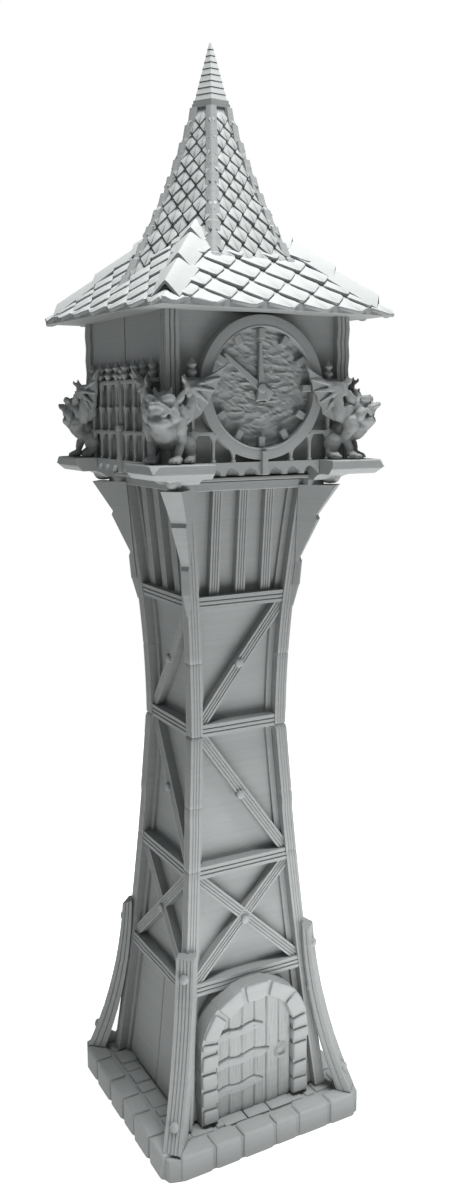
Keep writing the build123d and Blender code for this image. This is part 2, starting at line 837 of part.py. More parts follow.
with BuildPart() as gargoyle:
    egg(torso_plane, torso_length, torso_radius)
    egg(head_plane, head_length, head_radius)
    egg(muzzle_plane, muzzle_length, muzzle_radius)
    with BuildSketch(neck_plane) as neck:
        Circle(neck_radius)
    extrude(neck.sketch, amount=hypot(head_lead, head_height - torso_height))
    with BuildSketch(Plane.XY.offset(floor_top)):
        with Locations((foreleg_reach, foreleg_spread), (foreleg_reach, -foreleg_spread)):
            Circle(foreleg_radius)
    extrude(amount=foreleg_top)
    with Locations(
        (haunch_reach, haunch_spread, floor_top + haunch_height),
        (haunch_reach, -haunch_spread, floor_top + haunch_height),
    ):
        Sphere(haunch_radius)
    with BuildSketch(Plane.XY.offset(floor_top)):
        for reach, spread in ((foreleg_reach, foreleg_spread), (haunch_reach, haunch_spread)):
            with Locations((reach, spread), (reach, -spread)):
                RectangleRounded(paw_length, paw_width, paw_fillet)
    extrude(amount=paw_height)
    ear_base = floor_top + head_height + (head_radius**2 - ear_spread**2) ** 0.5 - ear_radius
    with Locations((head_reach, ear_spread, ear_base), (head_reach, -ear_spread, ear_base)):
        Cone(ear_radius, ear_radius / ear_height, ear_height, align=(Align.CENTER, Align.CENTER, Align.MIN))
    with BuildSketch(wing_plane):
        with BuildLine():
            arm = Line((-wing_root_lap, wing_root_height), (-wing_wrist_lead, wing_wrist_height))
            lead = SagittaArc(arm @ 1, (wing_span, wing_tip_height), -wing_lead_bow)
            hem = lead @ 1
            for finger in range(1, wing_fingers + 1):
                share = finger / wing_fingers
                tip = (
                    wing_span + share * (wing_root_width - wing_span),
                    wing_tip_height + share * (wing_hem_height - wing_tip_height),
                )
                hem = SagittaArc(hem, tip, wing_hem_bow) @ 1
            Line(hem, arm @ 0)
        make_face()
    wing = extrude(amount=wing_thickness)
    mirror(wing, about=Plane.XZ)
    clear_room = 2 * (room_half + seat_gap)
    clear_span = 2 * (railing_half + seat_gap)
    clear_rail = 2 * (railing_front + seat_gap)
    with BuildSketch(Plane.XY.offset(floor_top)):
        Rectangle(clear_room, clear_room, rotation=own_corner)
        Rectangle(clear_span, clear_rail, rotation=own_corner)
        Rectangle(clear_rail, clear_span, rotation=own_corner)
    extrude(amount=room_height, mode=Mode.SUBTRACT)
write_turned(gargoyle.part, "gargoyle", corners)


def square_roof(grow):
    """Square roof with a flat crown, its slopes moved outwards."""
    with BuildSketch(Plane.XY.offset(deck_top)) as eave:
        Rectangle(2 * (roof_half + grow), 2 * (roof_half + grow), rotation=roof_turn)
    with BuildSketch(Plane.XY.offset(crown_level)) as crown:
        Rectangle(2 * (roof_crown_half + grow), 2 * (roof_crown_half + grow), rotation=roof_turn)
    loft([eave.sketch, crown.sketch])


def spire_outline(grow):
    """Front view across two opposite sides of the spire, bowed inwards, moved outwards."""
    across = cos(radians(180 / spire_sides))
    foot = (across * (spire_foot_radius + grow), spire_foot_level)
    head = (across * (spire_head_radius + grow), spire_head_level)
    with BuildLine() as outline:
        SagittaArc(foot, head, spire_bow)
        mirror(about=Plane.YZ)
        Line(foot, (-foot[0], foot[1]))
        Line(head, (-head[0], head[1]))
    make_face(outline.edges())


def six_sided(grow):
    """Spire as the space shared by three pairs of bowed sides."""
    for pair in range(spire_sides // 2):
        turn = roof_turn + 360 * (pair + 0.5) / spire_sides
        with BuildSketch(elevation(turn)) as outline:
            spire_outline(grow)
        mode = Mode.INTERSECT if pair else Mode.ADD
        extrude(outline.sketch, amount=overrun, both=True, mode=mode)


# Eaves board, lying loose on the clock room
with BuildPart() as roof_deck:
    with BuildSketch(Plane.XY.offset(room_top)):
        Rectangle(2 * eave_half, 2 * eave_half, rotation=roof_turn)
    extrude(amount=eave_thickness)
write(roof_deck.part, "roof_deck")

# Lower roof, square with straight slopes
with BuildPart() as lower_roof:
    square_roof(0)
write(lower_roof.part, "lower_roof")

# Spire, six-sided and bowed, seated over the crown of the lower roof
with BuildPart() as spire:
    six_sided(0)
    add(lower_roof.part, mode=Mode.SUBTRACT)
write(spire.part, "spire")

# Hip caps along the four hips, up to the spire
with BuildPart() as hip_caps:
    square_roof(hip_thickness)
    with BuildSketch(Plane.XY.offset(deck_top)):
        for turn in (45, 135):
            Rectangle(2 * overrun, hip_width, rotation=roof_turn + turn)
    extrude(amount=overrun, mode=Mode.INTERSECT)
    add(lower_roof.part, mode=Mode.SUBTRACT)
    add(spire.part, mode=Mode.SUBTRACT)
write(hip_caps.part, "hip_caps")

# Ridge caps along the six edges of the spire
with BuildPart() as ridge_caps:
    six_sided(ridge_height)
    with BuildSketch(Plane.XY.offset(spire_foot_level)):
        for pair in range(spire_sides // 2):
            Rectangle(2 * overrun, ridge_width, rotation=roof_turn + 360 * pair / spire_sides)
    extrude(amount=overrun, mode=Mode.INTERSECT)
    add(lower_roof.part, mode=Mode.SUBTRACT)
    add(spire.part, mode=Mode.SUBTRACT)
    add(hip_caps.part, mode=Mode.SUBTRACT)
write(ridge_caps.part, "ridge_caps")

# Cap of the spire: two drip bands, then lipped courses up to a point
courses_base = spire_head_level + 2 * cap_band_height
course_height = (cap_height - 2 * cap_band_height) / cap_courses
course_fall = (cap_radius - 2 * cap_band_step - cap_tip_radius) / cap_courses
with BuildPart() as spire_cap:
    for band in range(2):
        with BuildSketch(Plane.XY.offset(spire_head_level + band * cap_band_height)):
            RegularPolygon(cap_radius - band * cap_band_step, spire_sides, rotation=roof_turn)
        extrude(amount=cap_band_height)
    for course in range(cap_courses):
        base = courses_base + course * course_height
        low_radius = cap_radius - 2 * cap_band_step - course * course_fall
        with BuildSketch(Plane.XY.offset(base)) as low:
            RegularPolygon(low_radius, spire_sides, rotation=roof_turn)
        with BuildSketch(Plane.XY.offset(base + course_height)) as high:
            RegularPolygon(low_radius - course_fall - cap_course_lip, spire_sides, rotation=roof_turn)
        loft([low.sketch, high.sketch])
write(spire_cap.part, "spire_cap")
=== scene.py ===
import bmesh
import bpy
import numpy as np
from mathutils import Matrix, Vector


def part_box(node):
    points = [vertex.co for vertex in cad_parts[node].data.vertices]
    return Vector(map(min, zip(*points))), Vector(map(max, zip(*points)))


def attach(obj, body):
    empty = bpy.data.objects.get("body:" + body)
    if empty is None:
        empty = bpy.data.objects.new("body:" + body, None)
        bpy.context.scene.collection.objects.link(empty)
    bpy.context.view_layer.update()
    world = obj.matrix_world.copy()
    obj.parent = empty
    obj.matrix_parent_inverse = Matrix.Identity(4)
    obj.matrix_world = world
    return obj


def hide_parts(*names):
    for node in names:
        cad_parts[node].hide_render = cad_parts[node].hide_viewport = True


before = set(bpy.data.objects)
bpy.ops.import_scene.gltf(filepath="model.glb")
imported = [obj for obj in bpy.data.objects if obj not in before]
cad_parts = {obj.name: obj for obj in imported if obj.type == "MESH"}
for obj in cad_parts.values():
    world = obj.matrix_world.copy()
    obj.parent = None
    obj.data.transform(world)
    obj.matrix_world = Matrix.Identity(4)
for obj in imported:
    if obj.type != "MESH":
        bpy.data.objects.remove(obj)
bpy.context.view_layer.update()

# Plinth: a slab of worn stones, its edge blocks laid round a row of smaller flags.
# The model is a grey plastic print, so the stones are fused to the slab below their joints,
# and each corner of the slab is left open between two edge blocks.
plinth_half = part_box("plinth")[1][0]
plinth_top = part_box("plinth")[1][2]
print_grey = (0.246, 0.256, 0.254)
quarter_turns = (0, 90, 180, 270)


def skin(name, rings, loop=False, crease=32.0):
    """Mesh through rings of points, an array (..., rings, points, 3): each point is joined to the next one
    in its ring and to its fellow in the next ring, and the end rings are closed, or joined with loop."""
    rings = np.asarray(rings, float)
    rings = rings.reshape(-1, *rings.shape[-3:])
    index = np.arange(rings[..., 0].size).reshape(rings.shape[:3])
    here = index if loop else index[:, :-1]
    there = np.roll(index, -1, axis=1) if loop else index[:, 1:]
    quads = np.stack([here, np.roll(here, -1, axis=2), np.roll(there, -1, axis=2), there], axis=-1)
    ends = [] if loop else index[:, [0, -1]].reshape(-1, index.shape[2]).tolist()
    mesh = bpy.data.meshes.new(name)
    mesh.from_pydata(rings.reshape(-1, 3), [], quads.reshape(-1, 4).tolist() + ends)
    shaped = bmesh.new()
    shaped.from_mesh(mesh)
    bmesh.ops.recalc_face_normals(shaped, faces=shaped.faces)
    shaped.to_mesh(mesh)
    shaped.free()
    mesh.polygons.foreach_set("use_smooth", np.ones(len(mesh.polygons), bool))
    mesh.set_sharp_from_angle(angle=np.radians(crease))
    piece = bpy.data.objects.new(name, mesh)
    bpy.context.scene.collection.objects.link(piece)
    return piece


def settle(piece, material, slot, *nodes):
    """Finish a piece: its material, and the nodes of the model that it stands for; the slot is not used."""
    piece.data.materials.clear()
    piece.data.materials.append(material)
    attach(piece, "root")
    if nodes:
        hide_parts(*nodes)


def rounded(corners, radius, steps=3):
    """Outline with rounded corners: each gives way to a parabola between points a radius along its edges."""
    before = np.roll(corners, 1, axis=-2) - corners
    after = np.roll(corners, -1, axis=-2) - corners
    before = before / np.linalg.norm(before, axis=-1, keepdims=True)
    after = after / np.linalg.norm(after, axis=-1, keepdims=True)
    t = np.linspace(0, 1, steps)[:, None]
    bend = (1 - t) ** 2 * before[..., None, :] + t**2 * after[..., None, :]
    points = corners[..., None, :] + radius * bend
    return points.reshape(*corners.shape[:-2], -1, corners.shape[-1])


def placed(*parts):
    """Points from their coordinates, each spread over the axes of the others."""
    return np.stack(np.broadcast_arrays(*parts), axis=-1)


def block(outline, depths, insets):
    """Block raised on an outline: its rings lie at the depths, drawn in from the outline by the insets."""
    low = outline.min(axis=-2, keepdims=True)
    high = outline.max(axis=-2, keepdims=True)
    middle = (low + high) / 2
    half = (high - low) / 2
    rings = np.stack([middle + (outline - middle) * (1 - inset / half) for inset in insets], axis=-3)
    levels = np.broadcast_to(np.asarray(depths)[..., None, None], rings.shape[:-1] + (1,))
    return np.concatenate([rings, levels], axis=-1)


def box_corners(left, right, low, high):
    """Corners of rectangles from their four bounds, numbers or arrays."""
    return placed(np.stack([left, right, right, left], axis=-1), np.stack([low, low, high, high], axis=-1))


def square_plan(half, corner):
    """Outline of a square about the tower's axis, with rounded corners."""
    return rounded(box_corners(-half, half, -half, half), corner)


def turned(points, angles):
    """Points turned about the tower's axis by degrees, one angle for each entry of the first axis."""
    a = np.radians(np.asarray(angles, float)).reshape((-1,) + (1,) * (points.ndim - 2))
    x, y, z = np.moveaxis(points, -1, 0)
    return placed(x * np.cos(a) - y * np.sin(a), x * np.sin(a) + y * np.cos(a), z)


def around(points, angles):
    """Copies of points, one turned about the tower's axis to each angle in degrees."""
    return turned(points[None], angles)


def wobble(points, size, seed):
    """Smooth irregular value about zero: the sum of sine waves in scattered directions, about a size long."""
    scatter = np.random.default_rng(seed)
    waves = scatter.normal(size=(points.shape[-1], 14))
    waves *= 2 * np.pi / size * scatter.uniform(0.6, 1.7, 14) / np.linalg.norm(waves, axis=0)
    return np.sin(points @ waves + scatter.uniform(0, 2 * np.pi, 14)).sum(axis=-1) / 14**0.5


class Shade:
    """An output inside a material, on which sums and products add nodes."""

    def __init__(self, tree, socket):
        self.tree = tree
        self.socket = socket

    def node(self, kind, output, inputs, **settings):
        """Add a node of a kind, set or link its inputs, and give the named output."""
        made = self.tree.nodes.new(kind)
        for key, value in settings.items():
            setattr(made, key, value)
        for key, value in inputs.items():
            if isinstance(value, Shade):
                self.tree.links.new(value.socket, made.inputs[key])
            else:
                made.inputs[key].default_value = value
        return Shade(self.tree, made.outputs[output])

    def maths(self, operation, first, second):
        return self.node("ShaderNodeMath", 0, {0: first, 1: second}, operation=operation)

    def __add__(self, other):
        return self.maths("ADD", self, other)

    __radd__ = __add__

    def __sub__(self, other):
        return self.maths("SUBTRACT", self, other)

    def __rsub__(self, other):
        return self.maths("SUBTRACT", other, self)

    def __mul__(self, other):
        return self.maths("MULTIPLY", self, other)

    __rmul__ = __mul__


def printed(name, colour, lines=1.0):
    """Grey printed plastic: level layer lines in tone and relief, with a faint mottle."""
    material = bpy.data.materials.new(name)
    material.use_nodes = True
    tree = material.node_tree
    shader = tree.nodes["Principled BSDF"]
    shader.inputs["Specular IOR Level"].default_value = 0.35
    place = Shade(tree, tree.nodes.new("ShaderNodeTexCoord").outputs["Object"])
    level = place.node("ShaderNodeMapping", 0, {"Vector": place, "Scale": (22.0, 22.0, 2300.0)})
    broad = place.node("ShaderNodeMapping", 0, {"Vector": place, "Scale": (14.0, 14.0, 520.0)})
    layers = place.node("ShaderNodeTexNoise", "Fac", {"Vector": level, "Scale": 1.0, "Detail": 2.0})
    bands = place.node("ShaderNodeTexNoise", "Fac", {"Vector": broad, "Scale": 1.0, "Detail": 1.0})
    mottle = place.node("ShaderNodeTexNoise", "Fac", {"Vector": place, "Scale": 900.0, "Detail": 3.0})
    tone = 1.0 + 0.10 * lines * (layers - 0.5) + 0.14 * lines * (bands - 0.5) + 0.10 * (mottle - 0.5)
    parts = {key: share * tone for key, share in zip(("Red", "Green", "Blue"), colour)}
    tree.links.new(place.node("ShaderNodeCombineColor", 0, parts).socket, shader.inputs["Base Color"])
    tree.links.new((0.56 + 0.16 * mottle).socket, shader.inputs["Roughness"])
    relief = layers * 0.5 + bands * 0.35 + mottle * 0.3
    bump = {"Strength": 0.35 * lines, "Distance": 0.00025, "Height": relief}
    tree.links.new(place.node("ShaderNodeBump", 0, bump).socket, shader.inputs["Normal"])
    return material


stone = printed("printed stone", print_grey, lines=0.7)
joint = 0.0010
notch_width = 0.0058
notch_depth = 0.0040
top_wear = 0.0005
edge_count = 6
edge_sway = 0.0014
edge_wear = 0.0004
edge_breadths = (0.0068, 0.0088)
edge_foot = 0.0004
edge_drops = np.array([0.0014, 0.0005, 0.0001, 0.0])
edge_insets = (0, 0, 0.0003, 0.0008, 0.0016)
edge_corner = 0.0013
edge_relief = 0.00018
edge_relief_size = 0.006
flag_count = 9
flag_sway = 0.0018
flag_wear = 0.0003
flag_end = 0.0085
flag_start = 0.0090
flag_stops = (0.0145, 0.0165)
flag_drop = 0.0004
flag_drops = np.array([0.0030, 0.0006, 0.0001, 0.0])
flag_insets = (0, 0, 0.0003, 0.0008)
flag_corner = 0.0008
core_inset = 0.0010
core_drop = 0.0013
core_corner = 0.0050
chance = np.random.default_rng(4)
cuts = np.linspace(-plinth_half + notch_width, plinth_half - notch_depth, edge_count + 1) + np.zeros((4, 1))
cuts[:, 1:-1] += chance.uniform(-edge_sway, edge_sway, (4, edge_count - 1))
inner = chance.uniform(*edge_breadths, (4, edge_count)) - plinth_half
outer = chance.uniform(0.0, edge_wear, (4, edge_count)) - plinth_half
edge_plan = box_corners(cuts[:, :-1] + joint / 2, cuts[:, 1:] - joint / 2, outer, inner)
edge_plan[..., 2:, :] += chance.uniform(-edge_wear, edge_wear, edge_plan[..., 2:, :].shape)
edge_tops = plinth_top - chance.uniform(0.0, top_wear, (4, edge_count, 1))
edge_levels = np.concatenate([np.full_like(edge_tops, edge_foot), edge_tops - edge_drops], axis=-1)
edge_blocks = turned(block(rounded(edge_plan, edge_corner), edge_levels, edge_insets), quarter_turns)
upper_part = edge_blocks[..., 2] > plinth_top / 2
edge_blocks[..., 2] += edge_relief * wobble(edge_blocks, edge_relief_size, 1) * upper_part
np.clip(edge_blocks[..., 2], 0, plinth_top, out=edge_blocks[..., 2])
settle(skin("plinth_edge_stones", edge_blocks), stone, "stone_print", "plinth")
flag_cuts = np.linspace(-plinth_half + flag_end, plinth_half - flag_end, flag_count + 1) + np.zeros((4, 1))
flag_cuts[:, 1:-1] += chance.uniform(-flag_sway, flag_sway, (4, flag_count - 1))
flag_outer = np.full((4, flag_count), flag_start) - plinth_half
flag_inner = chance.uniform(*flag_stops, (4, flag_count)) - plinth_half
flag_plan = box_corners(flag_cuts[:, :-1] + joint / 2, flag_cuts[:, 1:] - joint / 2, flag_outer, flag_inner)
flag_plan += chance.uniform(-flag_wear, flag_wear, flag_plan.shape)
flag_tops = plinth_top - flag_drop - chance.uniform(0.0, top_wear, (4, flag_count, 1))
flags = turned(block(rounded(flag_plan, flag_corner), flag_tops - flag_drops, flag_insets), quarter_turns)
settle(skin("plinth_flags", flags), stone, "stone_print")
core = block(square_plan(plinth_half - core_inset, core_corner), (0.0, plinth_top - core_drop), (0, 0))
settle(skin("plinth_core", core), stone, "stone_print")

# Corner posts: square timbers that lean in to a waist and flare out again under the balcony.
# Each is worked as a bundle of boards, with open joints down both outer faces and butt joints across.
timber = printed("printed timber", print_grey)
shaft_low = plinth_top
waist_level = 0.158
neck_level = 0.210
shaft_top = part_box("head_beam")[0][2]
foot_half = 0.0322
waist_half = 0.0200
neck_half = 0.0222
head_half = 0.0259
lower_bow = 0.0009
post_width = 0.0046
post_inset = 0.0001
post_joints = (0.26, 0.50, 0.74)
post_groove = 0.00055
post_groove_depth = 0.00026
proud_low = 0.128
proud_out = 0.00025
seam_levels = np.array([0.108, 0.132, 0.1585, 0.186])
seam_depths = np.array([0.00015, 0.00015, 0.00035, 0.00015])
seam_spread = 0.00025


def lean_of(foot, head, bow):
    """Lean from upright at the foot of an arc between two points (half-width, level) that bows inwards."""
    chord = np.hypot(head[0] - foot[0], head[1] - foot[1])
    return np.arctan2(head[0] - foot[0], head[1] - foot[1]) - 2 * np.arctan(2 * bow / chord)


def bowed(level, foot, head, lean):
    """Half-width at a level on the arc from foot to head that leaves the foot at a lean from upright."""
    chord = np.hypot(head[0] - foot[0], head[1] - foot[1])
    tilt = np.arctan2(head[0] - foot[0], head[1] - foot[1])
    radius = chord / (2 * np.sin(tilt - lean))
    rise = np.clip(level, foot[1], head[1]) - foot[1]
    return foot[0] + radius * (np.cos(lean) - np.sqrt(1 - (np.sin(lean) + rise / radius) ** 2))


def shaft_half(level):
    """Half-width over the posts at a level: a bowed arc up to the waist, then two arcs that flare outwards."""
    foot, waist = (foot_half, shaft_low), (waist_half, waist_level)
    neck, head = (neck_half, neck_level), (head_half, shaft_top)
    neck_lean = 2 * np.arctan2(neck[0] - waist[0], neck[1] - waist[1])
    low = bowed(level, foot, waist, lean_of(foot, waist, lower_bow))
    middle = bowed(level, waist, neck, 0.0)
    high = bowed(level, neck, head, neck_lean)
    return np.where(level < waist_level, low, np.where(level < neck_level, middle, high))


def grooved(length, joints, width, depth):
    """Profile across a face of a length: the places that it needs, and at each the depth of the V-shaped
    grooves whose middles lie at the joints, given as shares of the length."""
    middles = np.asarray(joints) * length
    steps = middles[:, None] + np.array([-width / 2, 0, width / 2])
    places = np.unique(np.concatenate([[0.0, length], steps.ravel()]))
    near = np.abs(places[:, None] - middles) / (width / 2)
    return places, depth * np.clip(1 - near, 0, 1).max(axis=-1)


def corner_section(width, joints, groove, depth):
    """Section of a square corner timber, drawn from its outer corner, with grooves down both outer faces."""
    across, dip = grooved(width, joints, groove, depth)
    face = np.stack([-across, -dip], axis=-1)
    return np.concatenate([face, [[-width, -width]], face[:0:-1, ::-1]])


def nodes_named(start):
    """Names of the model's nodes that begin with a word, or with one of several."""
    return [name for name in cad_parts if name.startswith(start)]


seam_steps = seam_levels[:, None] + np.array([-0.0004, -0.0001, 0.0001, 0.0004])
post_levels = np.unique(np.concatenate([np.linspace(shaft_low, shaft_top, 84), seam_steps.ravel()]))
seam_dip = (seam_depths * np.exp(-(((post_levels[:, None] - seam_levels) / seam_spread) ** 2))).sum(axis=-1)
proud = proud_out * ((post_levels > proud_low) & (post_levels < waist_level))
half = (shaft_half(post_levels) - seam_dip + proud - post_inset)[:, None]
section = corner_section(post_width, post_joints, post_groove, post_groove_depth)
posts = placed(half + section[:, 0], half + section[:, 1], post_levels[:, None])
settle(skin("corner_posts", around(posts, quarter_turns)), timber, "timber_print", *nodes_named("post_"))

# Walls: thin boards behind the posts, curved with them, with one upright joint in the ground stage.
# They are printed in one with the posts; only faint level lines show on them.
wall_recess = post_width
wall_thickness = 0.0024
wall_lap = 0.0012
wall_joint = 0.0009
first_rail = 0.0604
wall_levels = np.linspace(shaft_low, shaft_top, 60)[:, None]
face = shaft_half(wall_levels) - wall_recess
shift = np.array([-1.0, -0.016, 0.0, 0.016, 1.0, 1.0, -1.0])
back = np.array([0, 0, 0, 0, 0, wall_thickness, wall_thickness])
joint_dip = np.where(wall_levels < first_rail, wall_joint, 0.0) * (shift == 0)
walls = placed((face + wall_lap) * shift, -(face - joint_dip - back), wall_levels)
settle(skin("shaft_walls", around(walls, quarter_turns)), timber, "timber_print", *nodes_named("wall_"))

# Rails: three boards laid one on another across each bay, nearly flush with the posts.
# They are let in between the posts and stand out from the walls.
rail_height = 0.0046
rail_set_back = 0.0005
rail_lap = 0.0004
rail_joints = (1 / 3, 2 / 3)
rail_groove = 0.0006
rail_groove_depth = 0.0005
rail_sway = 0.00008
rail_sway_length = 0.012
rail_levels = np.array([first_rail, 0.1048, waist_level, 0.2058])
rise, rail_dip = grooved(rail_height, rail_joints, rail_groove, rail_groove_depth)
rail_z = rail_levels[:, None] + np.concatenate([rise, rise[[-1, 0]]])
rail_out = shaft_half(rail_z) - rail_set_back - np.concatenate([rail_dip, [wall_recess, wall_recess]])
rail_ends = np.linspace(-1, 1, 9)[:, None] * (shaft_half(rail_levels) - post_width + rail_lap)[:, None, None]
rails = placed(rail_ends, -rail_out[:, None, :], rail_z[:, None, :])
rails[..., 1] += rail_sway * wobble(rails, rail_sway_length, 5)
settle(skin("rails", around(rails, quarter_turns)), timber, "timber_print", *nodes_named("rails_"))

# Braces and battens: boards from corner to corner of the bays, a cross in the first, and three
# upright ones in the flare. Each is a bundle of planks held by a round peg at its middle.
brace_width = 0.0042
brace_set_back = 0.0014
batten_set_back = 0.0020
batten_width = 0.0039
batten_pitch = 0.01056
board_joints = (0.25, 0.5, 0.75)
board_groove = 0.0005
board_groove_depth = 0.0004
board_lap = 0.0004
peg_radius = 0.0017
bay_lows = rail_levels[:-1] + rail_height
bay_highs = rail_levels[1:]
brace_bays = np.array([0, 0, 1, 2])
brace_slopes = np.array([1, -1, -1, 1])


def boards(starts, ends, width, set_back, steps=28):
    """Grooved boards on the front wall between points (x, z): profile across the board carried along it,
    standing out from the wall by the shaft's own curve."""
    places, dips = grooved(width, board_joints, board_groove, board_groove_depth)
    dips = np.concatenate([dips, [wall_recess - set_back + board_lap] * 2])
    offset = np.concatenate([places, [width, 0]]) - width / 2
    run = ends - starts
    normal = np.stack([-run[:, 1], run[:, 0]], axis=-1) / np.linalg.norm(run, axis=-1, keepdims=True)
    along = np.linspace(0, 1, steps)[:, None]
    centre = starts[:, None] + run[:, None] * along
    plan = centre[:, :, None] + normal[:, None, None] * offset[:, None]
    out = shaft_half(plan[..., 1]) - set_back - dips
    return placed(plan[..., 0], -out, plan[..., 1])


def lathe(radii, heights, points=16):
    """Rings of a turned form standing on z: a radius at each height, carried round a circle."""
    turn = np.linspace(0, 2 * np.pi, points, endpoint=False)
    r = np.asarray(radii)[..., None]
    return placed(r * np.cos(turn), r * np.sin(turn), np.asarray(heights)[..., None])


def upright(points):
    """Points drawn as across, up and outwards, set on the front of the tower."""
    return placed(points[..., 0], -points[..., 2], points[..., 1])


def repeated(rings, places, axis):
    """Copies of rings, moved along an axis to each place."""
    moved = rings + np.zeros((len(places), 1, 1, 3))
    moved[..., axis] += np.asarray(places)[:, None, None]
    return moved


def pegs(levels, outs, shares, heights):
    """Pegs on the front at levels, each standing out from its own face: a turned form with a domed head,
    its radii given as shares of the pegs' radius."""
    rings = repeated(lathe(np.array(shares) * peg_radius, heights, 18), levels, 1)
    rings[..., 2] += outs[:, None, None]
    return upright(rings)


brace_low = bay_lows[brace_bays]
brace_high = bay_highs[brace_bays]
low_x = -brace_slopes * (shaft_half(brace_low) - post_width)
high_x = brace_slopes * (shaft_half(brace_high) - post_width)
braces = boards(placed(low_x, brace_low), placed(high_x, brace_high), brace_width, brace_set_back)
batten_x = np.array([-1, 0, 1]) * batten_pitch
batten_low = rail_levels[3] + rail_height
battens = boards(placed(batten_x, batten_low), placed(batten_x, shaft_top), batten_width, batten_set_back)
board_rings = around(np.concatenate([braces, battens]), quarter_turns)
settle(skin("braces_and_battens", board_rings), timber, "timber_print", *nodes_named("braces_"))
peg_levels = (bay_lows + bay_highs) / 2
peg_outs = shaft_half(peg_levels) - brace_set_back
peg_heights = np.array([-0.0012, 0.0005, 0.0008, 0.0010, 0.0011])
brace_pegs = pegs(peg_levels, peg_outs, (1.0, 1.0, 0.92, 0.7, 0.3), peg_heights)
settle(skin("brace_pegs", around(brace_pegs, quarter_turns)), timber, "timber_print")

# Struts: bowed timbers that lean on the corners of the shaft from the corners of the plinth.
# Each is a bundle of boards, with joints down its faces and a peg near its foot and head.
strut_width = 0.0069
strut_foot_reach = 0.0563
strut_foot_depth = 0.0078
strut_head_reach = 0.0390
strut_head_depth = 0.0042
strut_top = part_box("strut_front_left")[1][2]
strut_crown = 0.0016
strut_bow = 0.0030
strut_inset = 0.0001
corner_turns = (45, 135, 225, 315)
strut_share = np.linspace(0, 1, 48)
face_joints = (0.22, 0.41, 0.60, 0.80)
face_groove = 0.0006
face_groove_depth = 0.0005
flank_joints = (0.34, 0.67)
flank_groove_share = 0.08
flank_groove_depth = 0.0004
strut_seams = np.array([0.0295, 0.0520])
strut_seam_depth = 0.0003
strut_seam_spread = 0.0005
strut_peg_levels = np.array([0.0185, 0.0700])
strut_peg_heights = np.array([-0.0015, 0.0006, 0.0010, 0.0013, 0.0015])
outer_foot = (strut_foot_reach, shaft_low)
outer_head = (strut_head_reach, strut_top - strut_crown)
inner_foot = (strut_foot_reach - strut_foot_depth, shaft_low)
inner_head = (strut_head_reach - strut_head_depth, strut_top)
outer_z = outer_foot[1] + strut_share * (outer_head[1] - outer_foot[1])
inner_z = inner_foot[1] + strut_share * (inner_head[1] - inner_foot[1])
outer_r = bowed(outer_z, outer_foot, outer_head, lean_of(outer_foot, outer_head, strut_bow)) - strut_inset
inner_r = bowed(inner_z, inner_foot, inner_head, lean_of(inner_foot, inner_head, strut_bow))
face_places, face_dip = grooved(strut_width, face_joints, face_groove, face_groove_depth)
flank = grooved(1.0, flank_joints, flank_groove_share, flank_groove_depth)
flank_places, flank_dip = flank[0][1:], flank[1][1:]
right_s = strut_width / 2 - flank_dip
strut_s = np.concatenate([face_places - strut_width / 2, right_s, -right_s[:-1][::-1]])
strut_d = np.concatenate([0 * face_places, flank_places, flank_places[::-1][1:]])
strut_cut = np.concatenate([face_dip, 0 * flank_places, 0 * flank_places[1:]])
strut_r = outer_r[:, None] + (inner_r - outer_r)[:, None] * strut_d - strut_cut
strut_z = outer_z[:, None] + (inner_z - outer_z)[:, None] * strut_d
seam_near = np.exp(-(((strut_z[..., None] - strut_seams) / strut_seam_spread) ** 2)).sum(axis=-1)
struts = placed(strut_r - strut_seam_depth * seam_near, strut_s, strut_z)
settle(skin("struts", around(struts, corner_turns)), timber, "timber_print", *nodes_named("strut_"))
strut_peg_outs = np.interp(strut_peg_levels, outer_z, outer_r)
strut_pegs = pegs(strut_peg_levels, strut_peg_outs, (1.0, 1.0, 0.94, 0.74, 0.32), strut_peg_heights)
settle(skin("strut_pegs", around(strut_pegs, corner_turns)), timber, "timber_print")

# Doorway: an arch of rounded stones with open joints, standing out from the front wall.
# Four blocks make each jamb, and small springers and five larger stones the arch over the door.
arch_half = 0.0239
door_half = 0.0164
arch_spring = 0.0396
arch_front = -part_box("door_arch")[0][1]
arch_back = 0.0225
stone_gap = 0.00055
stone_wear = 0.0003
stone_in_wear = (-0.0002, 0.0005)
stone_out_wear = (0.0, 0.0008)
stone_front_wear = (0.0, 0.0005)
stone_sink = 0.0001
stone_corner = 0.0010
stone_drops = np.array([0.0016, 0.0007, 0.0002, 0.0])
stone_insets = (0, 0, 0.0002, 0.0005, 0.0011)
bed_margin = 0.0006
bed_drop = 0.0013
step_cuts = np.array([-0.0152, -0.0052, 0.0049, 0.0152])
step_gap = 0.0003
step_front = -0.0352
step_back = -0.0300
step_corner = 0.0006
step_drops = np.array([0.0010, 0.0004, 0.0001])
step_insets = (0, 0, 0.0004)
jamb_rise = arch_spring - shaft_low
arch_middle = (arch_half + door_half) / 2
arch_length = 2 * jamb_rise + np.pi * arch_middle


def arch_path(points):
    """Points drawn along the arch and across it, bent up one jamb, over the half circle and down the other."""
    s, r = points[..., 0], points[..., 1]
    bend = np.clip((s - jamb_rise) / arch_middle, 0, np.pi)
    below = np.minimum(s - jamb_rise, 0) + np.minimum(arch_length - jamb_rise - s, 0)
    return placed(-r * np.cos(bend), arch_spring + r * np.sin(bend) + below, points[..., 2])


